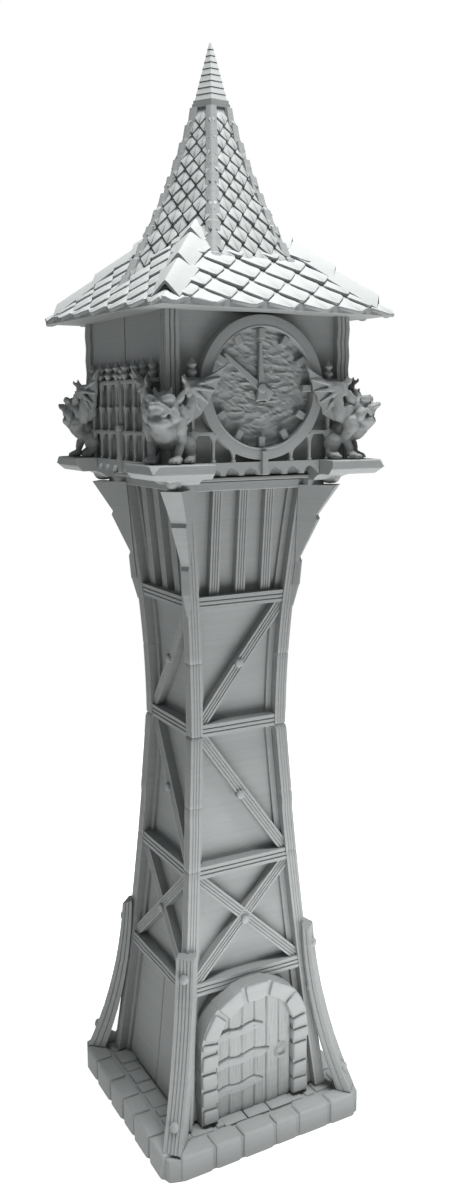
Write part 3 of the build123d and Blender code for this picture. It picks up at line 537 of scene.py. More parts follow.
jamb_cuts = np.array([0.0, 0.0072, 0.0150, 0.0221, 0.0296])
far_cuts = arch_length - jamb_cuts[::-1] * np.array([0.97, 1.02, 0.96, 1.03, 1.0])
arch_cuts = jamb_rise + np.pi * arch_middle * np.array([0.070, 0.245, 0.418, 0.590, 0.765, 0.930])
stone_cuts = np.concatenate([jamb_cuts, arch_cuts, far_cuts])
stone_cuts[0] -= stone_sink
chance = np.random.default_rng(11)
stone_in = door_half + chance.uniform(*stone_in_wear, stone_cuts.size - 1)
stone_out = arch_half - chance.uniform(*stone_out_wear, stone_cuts.size - 1)
corners = box_corners(stone_cuts[:-1] + stone_gap, stone_cuts[1:] - stone_gap, stone_in, stone_out)
corners += chance.uniform(-stone_wear, stone_wear, corners.shape)
fronts = arch_front - chance.uniform(*stone_front_wear, (corners.shape[0], 1))
stone_depths = np.concatenate([np.full_like(fronts, arch_back), fronts - stone_drops], axis=-1)
stones = arch_path(block(rounded(corners, stone_corner), stone_depths, stone_insets))
settle(skin("door_arch_stones", upright(stones)), stone, "stone_print", "door_arch")
bed_s = np.linspace(0.0, arch_length, 60)[:, None]
bed_r = np.array([door_half, arch_half, arch_half, door_half]) + bed_margin * np.array([1, -1, -1, 1])
bed_out = np.array([arch_back, arch_back, arch_front - bed_drop, arch_front - bed_drop])
bed = arch_path(placed(bed_s, bed_r, bed_out))
settle(skin("door_arch_bed", upright(bed)), stone, "stone_print")
step_ends = (np.full(3, step_front), np.full(3, step_back))
step_plan = box_corners(step_cuts[:-1] + step_gap, step_cuts[1:] - step_gap, *step_ends)
steps = block(rounded(step_plan, step_corner), shaft_low - step_drops, step_insets)
settle(skin("door_threshold", steps), stone, "stone_print")

# Door: six upright planks in one leaf, carried by three broad iron straps with waved edges, and a round
# plate with a ring to pull it by. It is printed shut, in one with the arch, so it doesn't open.
door_recess = 0.0026
door_clearance = 0.0002
door_front = arch_front - door_recess
door_low = shaft_low
door_high = arch_spring + door_half
plank_count = 6
plank_gap = 0.00055
plank_gap_depth = 0.0006
plank_step = 0.00022
grain_depth = 0.00011
grain_size = 0.012
strap_levels = door_low + np.array([0.235, 0.490, 0.745]) * (door_high - door_low)
strap_half = 0.0019
strap_rise = 0.00055
strap_end = 0.0068
strap_shorter_share = 0.25
strap_tip = 0.0042
strap_wave = 0.0005
strap_lower_wave_share = 0.6
strap_wave_start = 0.004
strap_wave_length = 0.0108
strap_rake = 0.0010
strap_upper_edge = 0.0003
strap_lower_edge = 0.0005
trench_half = 0.00045
trench_depth = 0.0007
nail_pitch = 0.0056
nail_stretch = 1.5
nail_radius = 0.0006
nail_rise = 0.0003
plate_inset = 0.0050
plate_place = (door_half - plate_inset, 0.0303)
plate_radius = 0.0035
plate_edge = 0.0003
plate_rise = 0.0004
lobe_count = 8
lobe_share = 0.06
ring_radius = 0.0020
ring_half = 0.0008
ring_rise = 0.0013
across_door = np.linspace(-door_half, door_half, 150)
up_door = np.linspace(door_low, door_high, 210)
door_x, door_z = np.meshgrid(across_door, up_door, indexing="ij")
plank = (door_x + door_half) / (2 * door_half) * plank_count
plank_edge = np.abs(plank - np.round(plank)) * 2 * door_half / plank_count
plank_seed = np.floor(plank)
grain_place = np.stack([door_x * 9 + plank_seed * 0.03, door_z * 0.8, plank_seed * 0.01], axis=-1)
relief = grain_depth * wobble(grain_place, grain_size, 21)
relief -= plank_gap_depth * np.clip(1 - plank_edge / plank_gap, 0, 1)
relief += plank_step * wobble(plank_seed[..., None] * np.array([1.0, 0.7]), 2.3, 3)
for level in strap_levels:
    end = strap_end - strap_shorter_share * abs(level - strap_levels[1])
    wave = strap_wave * np.sin((door_x + strap_wave_start) * 2 * np.pi / strap_wave_length)
    wave += strap_rake * (door_x - end) / door_half
    taper = np.clip((end - door_x) / strap_tip, 0, 1) ** 0.5
    above = level + wave + strap_half * taper
    below = level + wave * strap_lower_wave_share - strap_half * taper
    inside = np.clip((above - door_z) / strap_upper_edge, 0, 1) * (taper > 0)
    inside = inside * np.clip((door_z - below) / strap_lower_edge, 0, 1)
    trench = np.clip(1 - np.abs(door_z - above - strap_upper_edge) / trench_half, 0, 1) * (taper > 0)
    relief += (strap_rise - relief) * inside - trench_depth * trench
    nail_x = (door_x - np.round(door_x / nail_pitch) * nail_pitch) / nail_stretch
    nails = np.hypot(nail_x, door_z - level) / nail_radius
    relief += nail_rise * np.clip(1 - nails**2, 0, 1) * inside
plate_distance = np.hypot(door_x - plate_place[0], door_z - plate_place[1])
lobe_turn = np.arctan2(door_z - plate_place[1], door_x - plate_place[0])
lobes = plate_radius * (1 + lobe_share * np.cos(lobe_count * lobe_turn))
plate = np.clip((lobes - plate_distance) / plate_edge, 0, 1)
ring = np.clip(1 - np.abs(plate_distance - ring_radius) / ring_half, 0, 1)
relief += (plate_rise + ring_rise * ring - relief) * plate
relief = np.minimum(relief, door_recess - door_clearance)
door_face = placed(door_x, door_z, door_front + relief)
door_back = placed(door_x[:, [-1, 0]], door_z[:, [-1, 0]], arch_back)
door_rings = np.concatenate([door_face, door_back], axis=1)
door_leaf = skin("door_leaf", upright(door_rings), crease=60.0)
settle(door_leaf, timber, "timber_print", "door", "door_ironwork")

# Brackets: stepped fins on the corners of the posts, printed solid with them, that widen up to the balcony.
# Their arrises are eased, and each runs out below into a slim tapered foot on the corner of its post.
arris_ease = 0.0003
wedge_rises = np.array([-0.0080, 0.0003])
wedge_reaches = np.array([0.0, 0.0012])
wedge_halves = np.array([0.0005, 0.0013])
wedge_depth = 0.0030


def eased(node, material, width, segments):
    """Give a node of the model its material and a bevel on its arrises."""
    node.data.materials.clear()
    node.data.materials.append(material)
    bevel = node.modifiers.new("eased edges", "BEVEL")
    bevel.width = width
    bevel.segments = segments
    bevel.limit_method = "ANGLE"
    return bevel


for name in nodes_named(("bracket_", "balcony_corbels", "balcony_fascia", "room_wall_")):
    eased(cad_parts[name], timber, arris_ease, 2).harden_normals = True
wedge_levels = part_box("bracket_front_left")[0][2] + wedge_rises
wedge_out = (2**0.5 * shaft_half(wedge_levels) + wedge_reaches)[:, None]
wedge_r = wedge_out + wedge_depth * np.array([-1.0, 0.0, 0.0, -1.0])
wedge_s = wedge_halves[:, None] * np.array([-1.0, -1.0, 1.0, 1.0])
bracket_feet = placed(wedge_r, wedge_s, wedge_levels[:, None])
settle(skin("bracket_feet", around(bracket_feet, corner_turns)), timber, "timber_print")

# Balcony: boards laid on the head of the shaft carry a floor with a square pad at each corner, over hollow
# corbels with a round nose. Each pad has a bevelled lower band and a stopped chamfer on its outer corner.
floor_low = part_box("balcony_floor")[0][2]
floor_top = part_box("balcony_floor")[1][2]
pad_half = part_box("balcony_floor")[1][0]
pad_width = 0.0223
pad_inner = pad_half - pad_width
floor_board_half = 0.0354
floor_board_rises = np.array([-0.0011, -0.0002])
under_half = 0.0290
under_drop = 0.0010
lip_half = 0.0302
lip_rises = np.array([0.0026, 0.0038])
neck_board_half = 0.0240
head_rises = np.array([-0.0010, 0.0021])
slab_ease = 0.0002
nose_radii = np.array([0.3, 1.5, 2.3, 2.8, 3.0, 3.0]) / 1000
nose_rises = np.array([0.4, 0.6, 1.2, 2.2, 3.2, 4.4]) / 1000
nose_stretch = 1.3
nose_reach = 0.0440


def slab(half, low, high):
    """Square slab about the tower's axis between two levels, with eased edges."""
    levels = (low, low + slab_ease, high - slab_ease, high)
    return block(square_plan(half, 2 * slab_ease), levels, (slab_ease, 0, 0, slab_ease))


pad_levels = floor_low + np.array([0.0, 0.0002, 0.0019, 0.0021, 0.0022, 0.0046, 0.0049])[:, None]
pad_reach = pad_half - np.array([0.0026, 0.0022, 0.0006, 0.0006, 0.0001, 0.0, 0.0003])[:, None]
pad_cut = np.array([0.0002, 0.0002, 0.0002, 0.0002, 0.0002, 0.0026, 0.0027])[:, None]
pad_near = 0 * pad_reach + pad_inner
pad_x = np.concatenate([pad_near, pad_reach, pad_reach, pad_reach - pad_cut, pad_near], axis=1)
pad_y = np.concatenate([pad_near, pad_near, pad_reach - pad_cut, pad_reach, pad_reach], axis=1)
pads = around(placed(pad_x, pad_y, pad_levels), quarter_turns)
settle(skin("balcony_pads", pads), timber, "timber_print", "balcony_floor")
plates = np.stack([
    slab(floor_board_half, *(floor_top + floor_board_rises)),
    slab(under_half, floor_low, floor_top - under_drop),
    slab(lip_half, *(shaft_top + lip_rises)),
    slab(neck_board_half, shaft_top + head_rises[0], floor_low),
    slab(head_half, *(shaft_top + head_rises)),
])
settle(skin("balcony_boards", plates), timber, "timber_print", "head_beam")
nose = lathe(nose_radii, shaft_top + nose_rises, 20)
nose[..., 0] = nose[..., 0] * nose_stretch + nose_reach
settle(skin("corbel_noses", around(nose, corner_turns)), timber, "timber_print")

# Clock room: square posts of three boards at the corners, with walls let in between them, set well back
# behind the clock and nearly flush on the other sides.
room_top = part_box("room_posts")[1][2]
room_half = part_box("room_posts")[1][0]
room_post = 0.0048
room_joints = (0.34, 0.68)
room_groove = 0.0006
room_sway = 0.00012
room_sway_rate = 700
room_section = corner_section(room_post, room_joints, room_groove, room_groove)
room_levels = np.linspace(floor_top, room_top, 12)[:, None]
room_out = room_half - room_sway * (np.sin(room_levels * room_sway_rate) + 1)
room_rings = placed(room_out + room_section[:, 0], room_out + room_section[:, 1], room_levels)
settle(skin("room_corner_posts", around(room_rings, quarter_turns)), timber, "timber_print", "room_posts")

# Railings: flat columns in three storeys, each spreading into a pointed capital, under two square rails with
# a double bulb over each column. A stout post stands at the middle of a side; on the front the clock does.
railing_half = 0.0302
railing_plane = 0.03585
bar_count = 8
end_bar = 0.0264
lower_rail = floor_top + 0.0096
upper_rail = floor_top + 0.0270
middle_level = (lower_rail + upper_rail) / 2
rail_half = 0.00065
rail_depth_half = 0.00085
storey_gap = rail_half * 0.6
stout_sink = 0.0008
stout_foot = floor_top - 0.0044
stout_halves = (0.0011, 0.0017, 0.0010, 0.0004)
stout_outs = (0.0377, 0.0380, 0.0368, 0.0371)
stout_lows = (stout_foot, *(lower_rail + np.array([0.0008, 0.0020, 0.0020])))
stout_highs = (*(lower_rail + np.array([0.0010, 0.0026])), upper_rail, upper_rail)
front_post_out = 0.0382
front_post_rise = 0.0035
stub_lap = 0.0014
clock_level = (floor_top + room_top) / 2
clock_radius = 0.0239
bar_places = np.linspace(-end_bar, end_bar, bar_count)


def storey(places, low, high):
    """Storey of flat columns at places along the front: a foot, a plain shaft and a capital that spreads along
    the rail, drawn as rounded rectangles at levels between low and high."""
    feet = low + np.array([0.0, 0.0007, 0.0009])
    heads = high - np.array([0.0034, 0.0025, 0.0016, 0.0008, 0.0002, 0.0])
    levels = np.concatenate([feet, heads])[:, None]
    half = np.array([0.85, 0.85, 0.55, 0.55, 0.66, 0.95, 1.40, 1.80, 1.85])[:, None] / 1000
    depth = np.array([0.85, 0.85, 0.62, 0.62, 0.65, 0.70, 0.76, 0.82, 0.84])[:, None] / 1000
    corner = np.array([[-1, -0.6], [-0.6, -1], [0.6, -1], [1, -0.6], [1, 0.6], [0.6, 1], [-0.6, 1], [-1, 0.6]])
    ring = placed(corner[:, 0] * half, corner[:, 1] * depth - railing_plane, levels)
    return repeated(ring, places, 0)


def bars_between(starts, ends, levels):
    """Square rails along the front between two places, with eased edges."""
    profile = rounded(box_corners(-rail_depth_half, rail_depth_half, -rail_half, rail_half), slab_ease)
    ring = placed(0.0, profile[:, 0] - railing_plane, profile[:, 1])
    bars = np.stack([ring + np.zeros((len(starts), 1, 3))] * 2, axis=1)
    bars[:, 0, :, 0] += np.asarray(starts)[:, None]
    bars[:, 1, :, 0] += np.asarray(ends)[:, None]
    bars[..., 2] += np.asarray(levels)[:, None, None]
    return bars


def bulbs(places, size):
    """Turned double bulbs with a point, standing on the upper rail at places along the front."""
    radii = np.array([0.80, 0.95, 1.50, 1.80, 1.60, 0.95, 0.95, 1.45, 1.70, 1.40, 0.75, 0.15]) / 1000 * size
    heights = np.array([0.0, 0.6, 1.4, 2.0, 2.5, 3.1, 3.5, 4.1, 4.5, 5.0, 5.8, 6.9]) / 1000 * size
    rings = lathe(radii, upper_rail + rail_half * 0.5 + heights, 14)
    rings[..., 1] -= railing_plane
    return repeated(rings, places, 0)


def stout_post(halves, outs, lows, highs):
    """Blocks at the middle of a side, from arrays of half-widths, outer faces and levels."""
    back = np.full(len(outs), stout_sink - railing_plane)
    plan = box_corners(-np.asarray(halves), np.asarray(halves), -np.asarray(outs), back)
    levels = np.stack([lows, np.add(lows, slab_ease), np.subtract(highs, slab_ease), highs], axis=-1)
    return block(rounded(plan, slab_ease), levels, (slab_ease, 0, 0, slab_ease))


def beside_clock(level):
    """Half-width of the clock at a level."""
    return (clock_radius**2 - (level - clock_level) ** 2) ** 0.5


storey_lows = (floor_top, lower_rail + storey_gap, middle_level)
storey_highs = (lower_rail - storey_gap, middle_level, upper_rail - storey_gap)
closed_sides = quarter_turns[1:]
side_storeys = np.concatenate([storey(bar_places, low, high) for low, high in zip(storey_lows, storey_highs)])
side_columns = skin("railing_columns", around(side_storeys, closed_sides))
settle(side_columns, timber, "timber_print", "railing_right", "railing_back", "railing_left")
side_rails = bars_between([-railing_half] * 2, [railing_half] * 2, [lower_rail, upper_rail])
settle(skin("railing_rails", around(side_rails, closed_sides)), timber, "timber_print")
side_bulbs = np.concatenate([bulbs(bar_places, 1.0), bulbs([0.0], 0.8)])
settle(skin("railing_bulbs", around(side_bulbs, closed_sides)), timber, "timber_print")
stout = stout_post(stout_halves, stout_outs, stout_lows, stout_highs)
settle(skin("railing_stout_posts", around(stout, closed_sides)), timber, "timber_print")
outer_places = bar_places[[0, -1]]
stub_high = clock_level - (clock_radius**2 - bar_places[2] ** 2) ** 0.5 + stub_lap
front_storeys = [storey(outer_places, low, high) for low, high in zip(storey_lows, storey_highs)]
front_storeys.append(storey(bar_places[[1, -2]], floor_top, storey_highs[0]))
front_storeys.append(storey(bar_places[[2, -3]], floor_top, stub_high))
front_columns = skin("front_railing_columns", np.concatenate(front_storeys))
settle(front_columns, timber, "timber_print", "railing_front")
settle(skin("front_railing_bulbs", bulbs(outer_places, 1.0)), timber, "timber_print")
upper_clear = beside_clock(upper_rail)
lower_clear = beside_clock(lower_rail)
front_starts = [-railing_half, upper_clear, -railing_half, lower_clear]
front_ends = [-upper_clear, railing_half, -lower_clear, railing_half]
front_rails = bars_between(front_starts, front_ends, [upper_rail, upper_rail, lower_rail, lower_rail])
settle(skin("front_railing_rails", front_rails), timber, "timber_print")
front_post = stout_post(stout_halves[:1], (front_post_out,), (stout_foot,), (floor_top + front_post_rise,))
settle(skin("front_stout_post", front_post), timber, "timber_print")

# Clock: a flat ring with a thin inner lip on the front of the room, round a sunk dial of rough stone.
# Twelve blocks mark the hours; two tapered hands with flared tails are pinned at the middle.
dial_radius = 0.0200
ring_front = -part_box("clock_ring")[0][1]
ring_depth = 0.0041
dial_sink = 0.0024
room_face = ring_front - ring_depth
dial_front = ring_front - dial_sink
ring_radii = np.array([0.0199, 0.0199, 0.0200, 0.0203, 0.0205, 0.0235, 0.0238, 0.0239, 0.0239])
ring_sinks = np.array([ring_depth, 0.0002, 0.0, 0.0, 0.0002, 0.0002, 0.0003, 0.0006, ring_depth])
dial_pole = 0.0002
dial_wear = 0.0003
hewn_depths = (0.00038, 0.00018)
hewn_sizes = (0.0042, 0.0020)
hewn_stretch = np.array([0.36, 1.0])
boss_place = (0.001, -0.0085)
boss_radius = 0.0045
boss_rise = 0.0007
marker_inner = 0.0161
marker_outer = 0.0196
marker_half = 0.0012
marker_corner = 0.0003
marker_insets = (0, 0, 0.0002)
marker_rises = np.array([-0.0008, 0.0013, 0.0015])
hand_lengths = np.array([0.0180, 0.0150])
hand_tails = np.array([0.0050, 0.0042])
hand_halves = np.array([0.0023, -0.0023, -0.0013, -0.0005, 0.0005, 0.0013])
hand_corner = 0.0003
hand_insets = (0, 0, 0.0003)
hand_rises = np.array([[0.0, 0.0006, 0.0008], [0.0001, 0.0009, 0.0012]])
hub_radius = 0.0017
hub_rises = np.array([0.0, 0.0014, 0.0017, 0.0018])


def on_dial(points, angles):
    """Points drawn about the dial's middle, turned there by angles and set on the front of the room."""
    x, y, out = np.moveaxis(points, -1, 0)
    across = x * np.cos(angles) - y * np.sin(angles)
    up = clock_level + x * np.sin(angles) + y * np.cos(angles)
    return upright(placed(across, up, out))


clock_turn = np.linspace(0, 2 * np.pi, 128, endpoint=False)[:, None]
ring_rings = on_dial(placed(ring_radii, 0.0, ring_front - ring_sinks), clock_turn)
settle(skin("clock_ring", ring_rings, loop=True), stone, "stone_print", "clock_ring")
dial_radii = np.append(np.linspace(dial_pole, dial_radius, 70), dial_radius)
dial_outs = np.append(np.full(70, dial_front), room_face)
dial_rings = lathe(dial_radii, dial_outs, 200)
chipped = dial_rings[..., :2] * hewn_stretch
hewn = hewn_depths[0] * np.abs(wobble(chipped, hewn_sizes[0], 31)) ** 0.7
hewn += hewn_depths[1] * np.abs(wobble(chipped, hewn_sizes[1], 32))
boss_distance = np.hypot(dial_rings[..., 0] - boss_place[0], dial_rings[..., 1] - boss_place[1])
boss = boss_rise * np.clip(1 - (boss_distance / boss_radius) ** 2, 0, 1)
dial_rings[:-1, :, 2] += (boss - hewn)[:-1] - dial_wear
settle(skin("clock_dial", on_dial(dial_rings, 0.0)), stone, "stone_print", "clock_dial")
hours = np.arange(12)[:, None, None] * np.pi / 6
marker_plan = rounded(box_corners(marker_inner, marker_outer, -marker_half, marker_half), marker_corner)
markers = on_dial(block(marker_plan, dial_front + marker_rises, marker_insets), hours)
settle(skin("hour_blocks", markers), stone, "stone_print", "clock_markers")
hand_angles = np.radians([142.0, 92.0])[:, None, None]
hand_pin = 0 * hand_tails
hand_x = np.stack([-hand_tails, -hand_tails, hand_pin, hand_lengths, hand_lengths, hand_pin], axis=-1)
hand_plan = rounded(placed(hand_x, hand_halves), hand_corner)
hands = on_dial(block(hand_plan, dial_front + hand_rises, hand_insets), hand_angles)
settle(skin("clock_hands", hands), stone, "stone_print", "clock_hands")
hub = lathe(np.array([1.0, 1.0, 0.8, 0.3]) * hub_radius, dial_front + hub_rises, 20)
settle(skin("clock_hub", on_dial(hub, 0.0)), stone, "stone_print")

# Gargoyles: a squat winged beast on each corner pad, with a broad jutting jaw, pricked ears and a shaggy neck.
# Each is printed in one with its pad: solid limbs run together, and thin wings held back along the railings.
beast = printed("printed beast", print_grey, lines=0.8)
pad_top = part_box("gargoyle_front_left")[0][2]
hide_depth = 0.00016
hide_size = 0.0016
paw_sink = 0.0002
middle_limbs = np.array([
    [[44.6, 0, 6.0, 5.0, 4.4], [47.6, 0, 9.0, 5.4, 4.8], [51.6, 0, 12.0, 5.0, 4.6]],
    [[42.6, 0, 4.0, 3.8, 3.6], [44.1, 0, 5.0, 4.4, 4.2], [46.1, 0, 6.0, 4.4, 4.0]],
    [[51.6, 0, 7.4, 3.2, 2.4], [53.6, 0, 10.2, 4.0, 3.0], [56.1, 0, 13.5, 4.4, 3.0]],
    [[48.6, 0, 12.0, 4.8, 4.0], [51.0, 0, 15.5, 5.2, 4.2], [53.1, 0, 18.3, 4.8, 3.8]],
    [[50.6, 0, 18.2, 4.2, 3.2], [54.0, 0, 18.4, 5.2, 3.8], [57.2, 0, 18.5, 4.4, 2.6]],
    [[55.2, 0, 18.2, 3.4, 2.0], [57.6, 0, 17.8, 3.4, 2.2], [60.0, 0, 17.4, 2.7, 1.8]],
    [[53.4, 0, 14.2, 4.4, 2.1], [57.0, 0, 13.6, 4.0, 2.1], [59.9, 0, 14.0, 2.7, 1.5]],
    [[58.2, 0, 13.4, 3.0, 1.8], [56.8, 0, 11.4, 2.4, 1.4], [55.0, 0, 9.2, 1.0, 0.7]],
    [[54.6, 0, 21.0, 1.7, 1.3], [53.2, 0, 22.2, 1.5, 1.2], [51.8, 0, 22.8, 0.8, 0.7]],
])
side_limbs = np.array([
    [[57.6, 0.8, 20.2, 1.0, 0.9], [57.2, 2.7, 21.0, 1.2, 1.2], [55.2, 5.0, 21.2, 0.9, 1.0]],
    [[59.3, 1.1, 15.5, 0.6, 0.6], [58.2, 3.0, 16.3, 0.6, 0.6], [56.6, 4.2, 17.8, 0.5, 0.5]],
    [[60.4, 0.2, 19.2, 0.9, 0.9], [60.5, 1.2, 18.9, 0.9, 0.9], [59.6, 2.4, 18.0, 0.7, 0.7]],
    [[56.2, 3.6, 17.6, 1.3, 1.4], [55.4, 4.6, 16.0, 1.7, 1.8], [54.0, 4.7, 13.4, 1.2, 1.3]],
    [[52.6, 4.2, 19.6, 1.0, 1.7], [51.9, 5.8, 21.6, 0.9, 1.6], [51.4, 6.5, 24.2, 0.3, 0.4]],
    [[54.0, 1.7, 21.0, 0.9, 1.0], [53.2, 2.5, 22.8, 0.8, 0.9], [53.5, 2.9, 25.0, 0.3, 0.3]],
    [[52.2, 4.6, 18.8, 1.3, 1.5], [51.0, 5.8, 16.6, 1.5, 1.7], [50.2, 5.8, 13.4, 0.7, 0.8]],
    [[53.8, 4.4, 15.2, 1.0, 1.2], [53.0, 5.0, 13.0, 1.1, 1.3], [52.8, 4.6, 10.4, 0.5, 0.6]],
    [[51.6, 4.4, 15.0, 1.8, 2.2], [52.0, 5.3, 12.4, 2.2, 2.9], [51.4, 4.9, 9.4, 1.8, 2.1]],
    [[52.0, 4.9, 11.0, 1.9, 2.2], [50.6, 5.2, 9.0, 1.8, 2.0], [49.5, 5.1, 6.8, 1.5, 1.6]],
    [[49.3, 5.0, 7.6, 1.4, 1.6], [51.2, 4.7, 5.2, 1.4, 1.5], [52.0, 4.3, 1.6, 1.2, 1.2]],
    [[51.0, 4.2, 1.3, 1.6, 1.2], [52.8, 4.2, 1.5, 2.0, 1.4], [54.6, 4.1, 1.0, 1.9, 1.0]],
    [[53.4, 2.8, 1.1, 0.7, 0.9], [54.8, 2.8, 1.0, 0.8, 0.9], [55.7, 2.8, 0.5, 0.4, 0.4]],
    [[53.6, 4.1, 1.2, 0.7, 0.9], [55.1, 4.1, 1.1, 0.8, 0.9], [56.1, 4.1, 0.5, 0.4, 0.4]],
    [[53.4, 5.5, 1.1, 0.7, 0.9], [54.7, 5.5, 1.0, 0.8, 0.9], [55.6, 5.5, 0.5, 0.4, 0.4]],
    [[44.1, 5.0, 8.2, 1.8, 2.4], [45.6, 5.9, 6.2, 2.3, 3.3], [46.5, 6.2, 2.6, 1.6, 1.8]],
    [[46.1, 6.3, 5.0, 1.3, 1.5], [44.7, 6.7, 3.0, 1.2, 1.4], [46.1, 6.8, 1.2, 1.3, 1.1]],
    [[44.7, 6.8, 1.2, 1.4, 1.1], [46.9, 6.8, 1.4, 1.9, 1.4], [48.7, 6.8, 1.0, 1.7, 0.9]],
    [[47.0, 5.6, 1.0, 0.7, 0.9], [48.4, 5.6, 1.0, 0.7, 0.8], [49.3, 5.6, 0.5, 0.4, 0.4]],
    [[47.2, 6.8, 1.1, 0.7, 0.9], [48.7, 6.8, 1.0, 0.7, 0.8], [49.6, 6.8, 0.5, 0.4, 0.4]],
    [[47.0, 8.0, 1.0, 0.7, 0.9], [48.3, 8.0, 1.0, 0.7, 0.8], [49.1, 8.0, 0.5, 0.4, 0.4]],
    [[49.2, 4.8, 13.0, 1.9, 2.0], [47.8, 7.0, 17.4, 2.0, 2.3], [48.4, 7.3, 22.6, 1.3, 1.5]],
    [[48.2, 7.4, 21.0, 1.2, 1.4], [49.4, 6.9, 24.0, 1.2, 1.4], [50.5, 6.4, 26.2, 1.0, 1.1]],
    [[50.6, 6.3, 26.0, 1.0, 1.1], [46.1, 7.8, 25.4, 1.2, 1.5], [42.6, 10.8, 26.8, 0.9, 1.0]],
    [[43.4, 10.0, 26.3, 0.9, 1.0], [40.5, 13.2, 28.6, 0.7, 0.9], [38.3, 16.0, 31.2, 0.3, 0.4]],
    [[50.2, 6.4, 25.8, 0.8, 0.8], [51.6, 6.3, 26.8, 0.6, 0.7], [52.6, 6.4, 28.2, 0.25, 0.3]],
    [[49.8, 6.6, 26.0, 0.7, 0.7], [50.5, 6.3, 27.6, 0.5, 0.6], [50.9, 6.2, 28.9, 0.25, 0.3]],
    [[49.5, 7.3, 24.4, 0.7, 0.7], [46.2, 8.6, 20.1, 0.7, 0.7], [42.9, 9.3, 15.8, 0.6, 0.6]],
    [[49.5, 7.3, 24.4, 0.7, 0.7], [45.8, 9.8, 21.9, 0.7, 0.7], [41.8, 11.6, 19.4, 0.6, 0.6]],
    [[49.5, 7.3, 24.6, 0.7, 0.7], [45.1, 10.7, 24.0, 0.7, 0.7], [40.5, 13.4, 23.6, 0.6, 0.6]],
    [[46.9, 8.5, 25.2, 0.7, 0.7], [43.3, 12.2, 26.5, 0.7, 0.7], [39.4, 15.4, 27.8, 0.5, 0.5]],
])


def limbs(bones, rings=15, points=16):
    """Rounded limbs from three stations each (out, across, up, half width, half depth in millimetres): an
    ellipse carried on the parabola through the stations, drawn together to a dome at both ends."""
    turn = np.linspace(-0.49, 0.49, rings) * np.pi
    t = np.sin(turn) * 0.5 + 0.5
    weights = np.stack([(1 - t) * (1 - 2 * t), 4 * t * (1 - t), t * (2 * t - 1)], axis=-1)
    slopes = np.stack([4 * t - 3, 4 - 8 * t, 4 * t - 1], axis=-1)
    carried = weights @ bones / 1000
    along = slopes @ bones[..., :3]
    along /= np.linalg.norm(along, axis=-1, keepdims=True)
    level = np.abs(along[..., 1:2]) < 0.75
    across = np.where(level, np.array([0.0, 1.0, 0.0]), np.array([1.0, 0.0, 0.0]))
    across = across - along * (across * along).sum(axis=-1, keepdims=True)
    across /= np.linalg.norm(across, axis=-1, keepdims=True)
    other = np.cross(along, across)
    dome = (1 - np.abs(np.sin(turn)) ** 4) ** 0.5
    a = np.linspace(0, 2 * np.pi, points, endpoint=False)[:, None]
    wide = (carried[..., 3] * dome)[..., None, None] * np.cos(a) * across[..., None, :]
    deep = (carried[..., 4] * dome)[..., None, None] * np.sin(a) * other[..., None, :]
    return carried[..., None, :3] + wide + deep


one_side = limbs(side_limbs)
one_beast = np.concatenate([limbs(middle_limbs), one_side, one_side * np.array([1, -1, 1])])
hide = np.stack([wobble(one_beast, hide_size, seed) for seed in (41, 42, 43)], axis=-1)
one_beast = one_beast + hide_depth * hide
one_beast[..., 2] = np.maximum(one_beast[..., 2], -paw_sink) + pad_top
beasts = skin("gargoyle_bodies", around(one_beast, corner_turns))
joined = beasts.modifiers.new("limbs run together", "REMESH")
joined.mode = "VOXEL"
joined.voxel_size = 0.00037
joined.use_smooth_shade = True
softened = beasts.modifiers.new("softened", "SMOOTH")
softened.factor = 0.5
softened.iterations = 2
gargoyles = ("gargoyle_front_left", "gargoyle_front_right", "gargoyle_back_left", "gargoyle_back_right")
settle(beasts, beast, "beast_print", *gargoyles)
wing_edge = np.array([
    [49.2, 6.6, 26.4], [46.8, 7.9, 26.0], [44.4, 10.4, 26.9], [41.2, 13.6, 29.2], [38.4, 16.2, 31.4],
    [39.2, 15.4, 29.4], [39.4, 15.0, 27.8], [39.9, 13.9, 26.0], [40.2, 13.1, 23.6], [41.2, 12.0, 22.0],
    [41.6, 11.3, 19.4], [42.6, 10.2, 18.0], [42.7, 9.0, 15.8], [44.4, 8.0, 14.6], [46.4, 6.4, 13.4],
    [48.2, 6.6, 17.0], [48.6, 6.9, 22.0],
]) / 1000 + np.array([0, 0, pad_top])
wing_half = 0.00045
wing_out = np.array([0.527, 0.850, 0.0]) * wing_half
wing = np.stack([wing_edge - wing_out, wing_edge + wing_out])
wings = np.stack([wing, wing * np.array([1, -1, 1])])
settle(skin("gargoyle_wings", around(wings, corner_turns)), beast, "beast_print")

# Lower roof: four slopes of broad lozenge slates, each lifted at its lower point over the two below it.
# The roof is one loose print that sits a little turned on the room: its slates are fused to a plain sloping
# bed, over a flat board that closes the eaves.
slate = printed("printed slate", print_grey, lines=0.6)
roof_turn = 3.3
deck_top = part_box("lower_roof")[0][2]
eave_level = deck_top - 0.0005
roof_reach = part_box("roof_deck")[1][0] - 0.0001
roof_half = 0.0445
crown_half = 0.0120
roof_pitch = 0.94
roof_run = roof_half - crown_half
roof_rise = roof_pitch * roof_run
slope_cos = roof_run / np.hypot(roof_run, roof_rise)
slope_sin = roof_rise / np.hypot(roof_run, roof_rise)
roof_sides = np.array(quarter_turns) + roof_turn
slate_width = 0.0142
slate_height = 0.0112
slate_rows = 9
slate_thickness = 0.0012
slate_corner = 0.0006
slate_sway = 0.02
slate_rise = 0.00055
slate_tip_rise = 0.0013
slate_least = 0.001
eave_lift = 0.0004
eave_hangs = (-0.0040, -0.0033)
row_hang = -0.0010
bed_foot = 0.0010
eave_board_margin = 0.0003


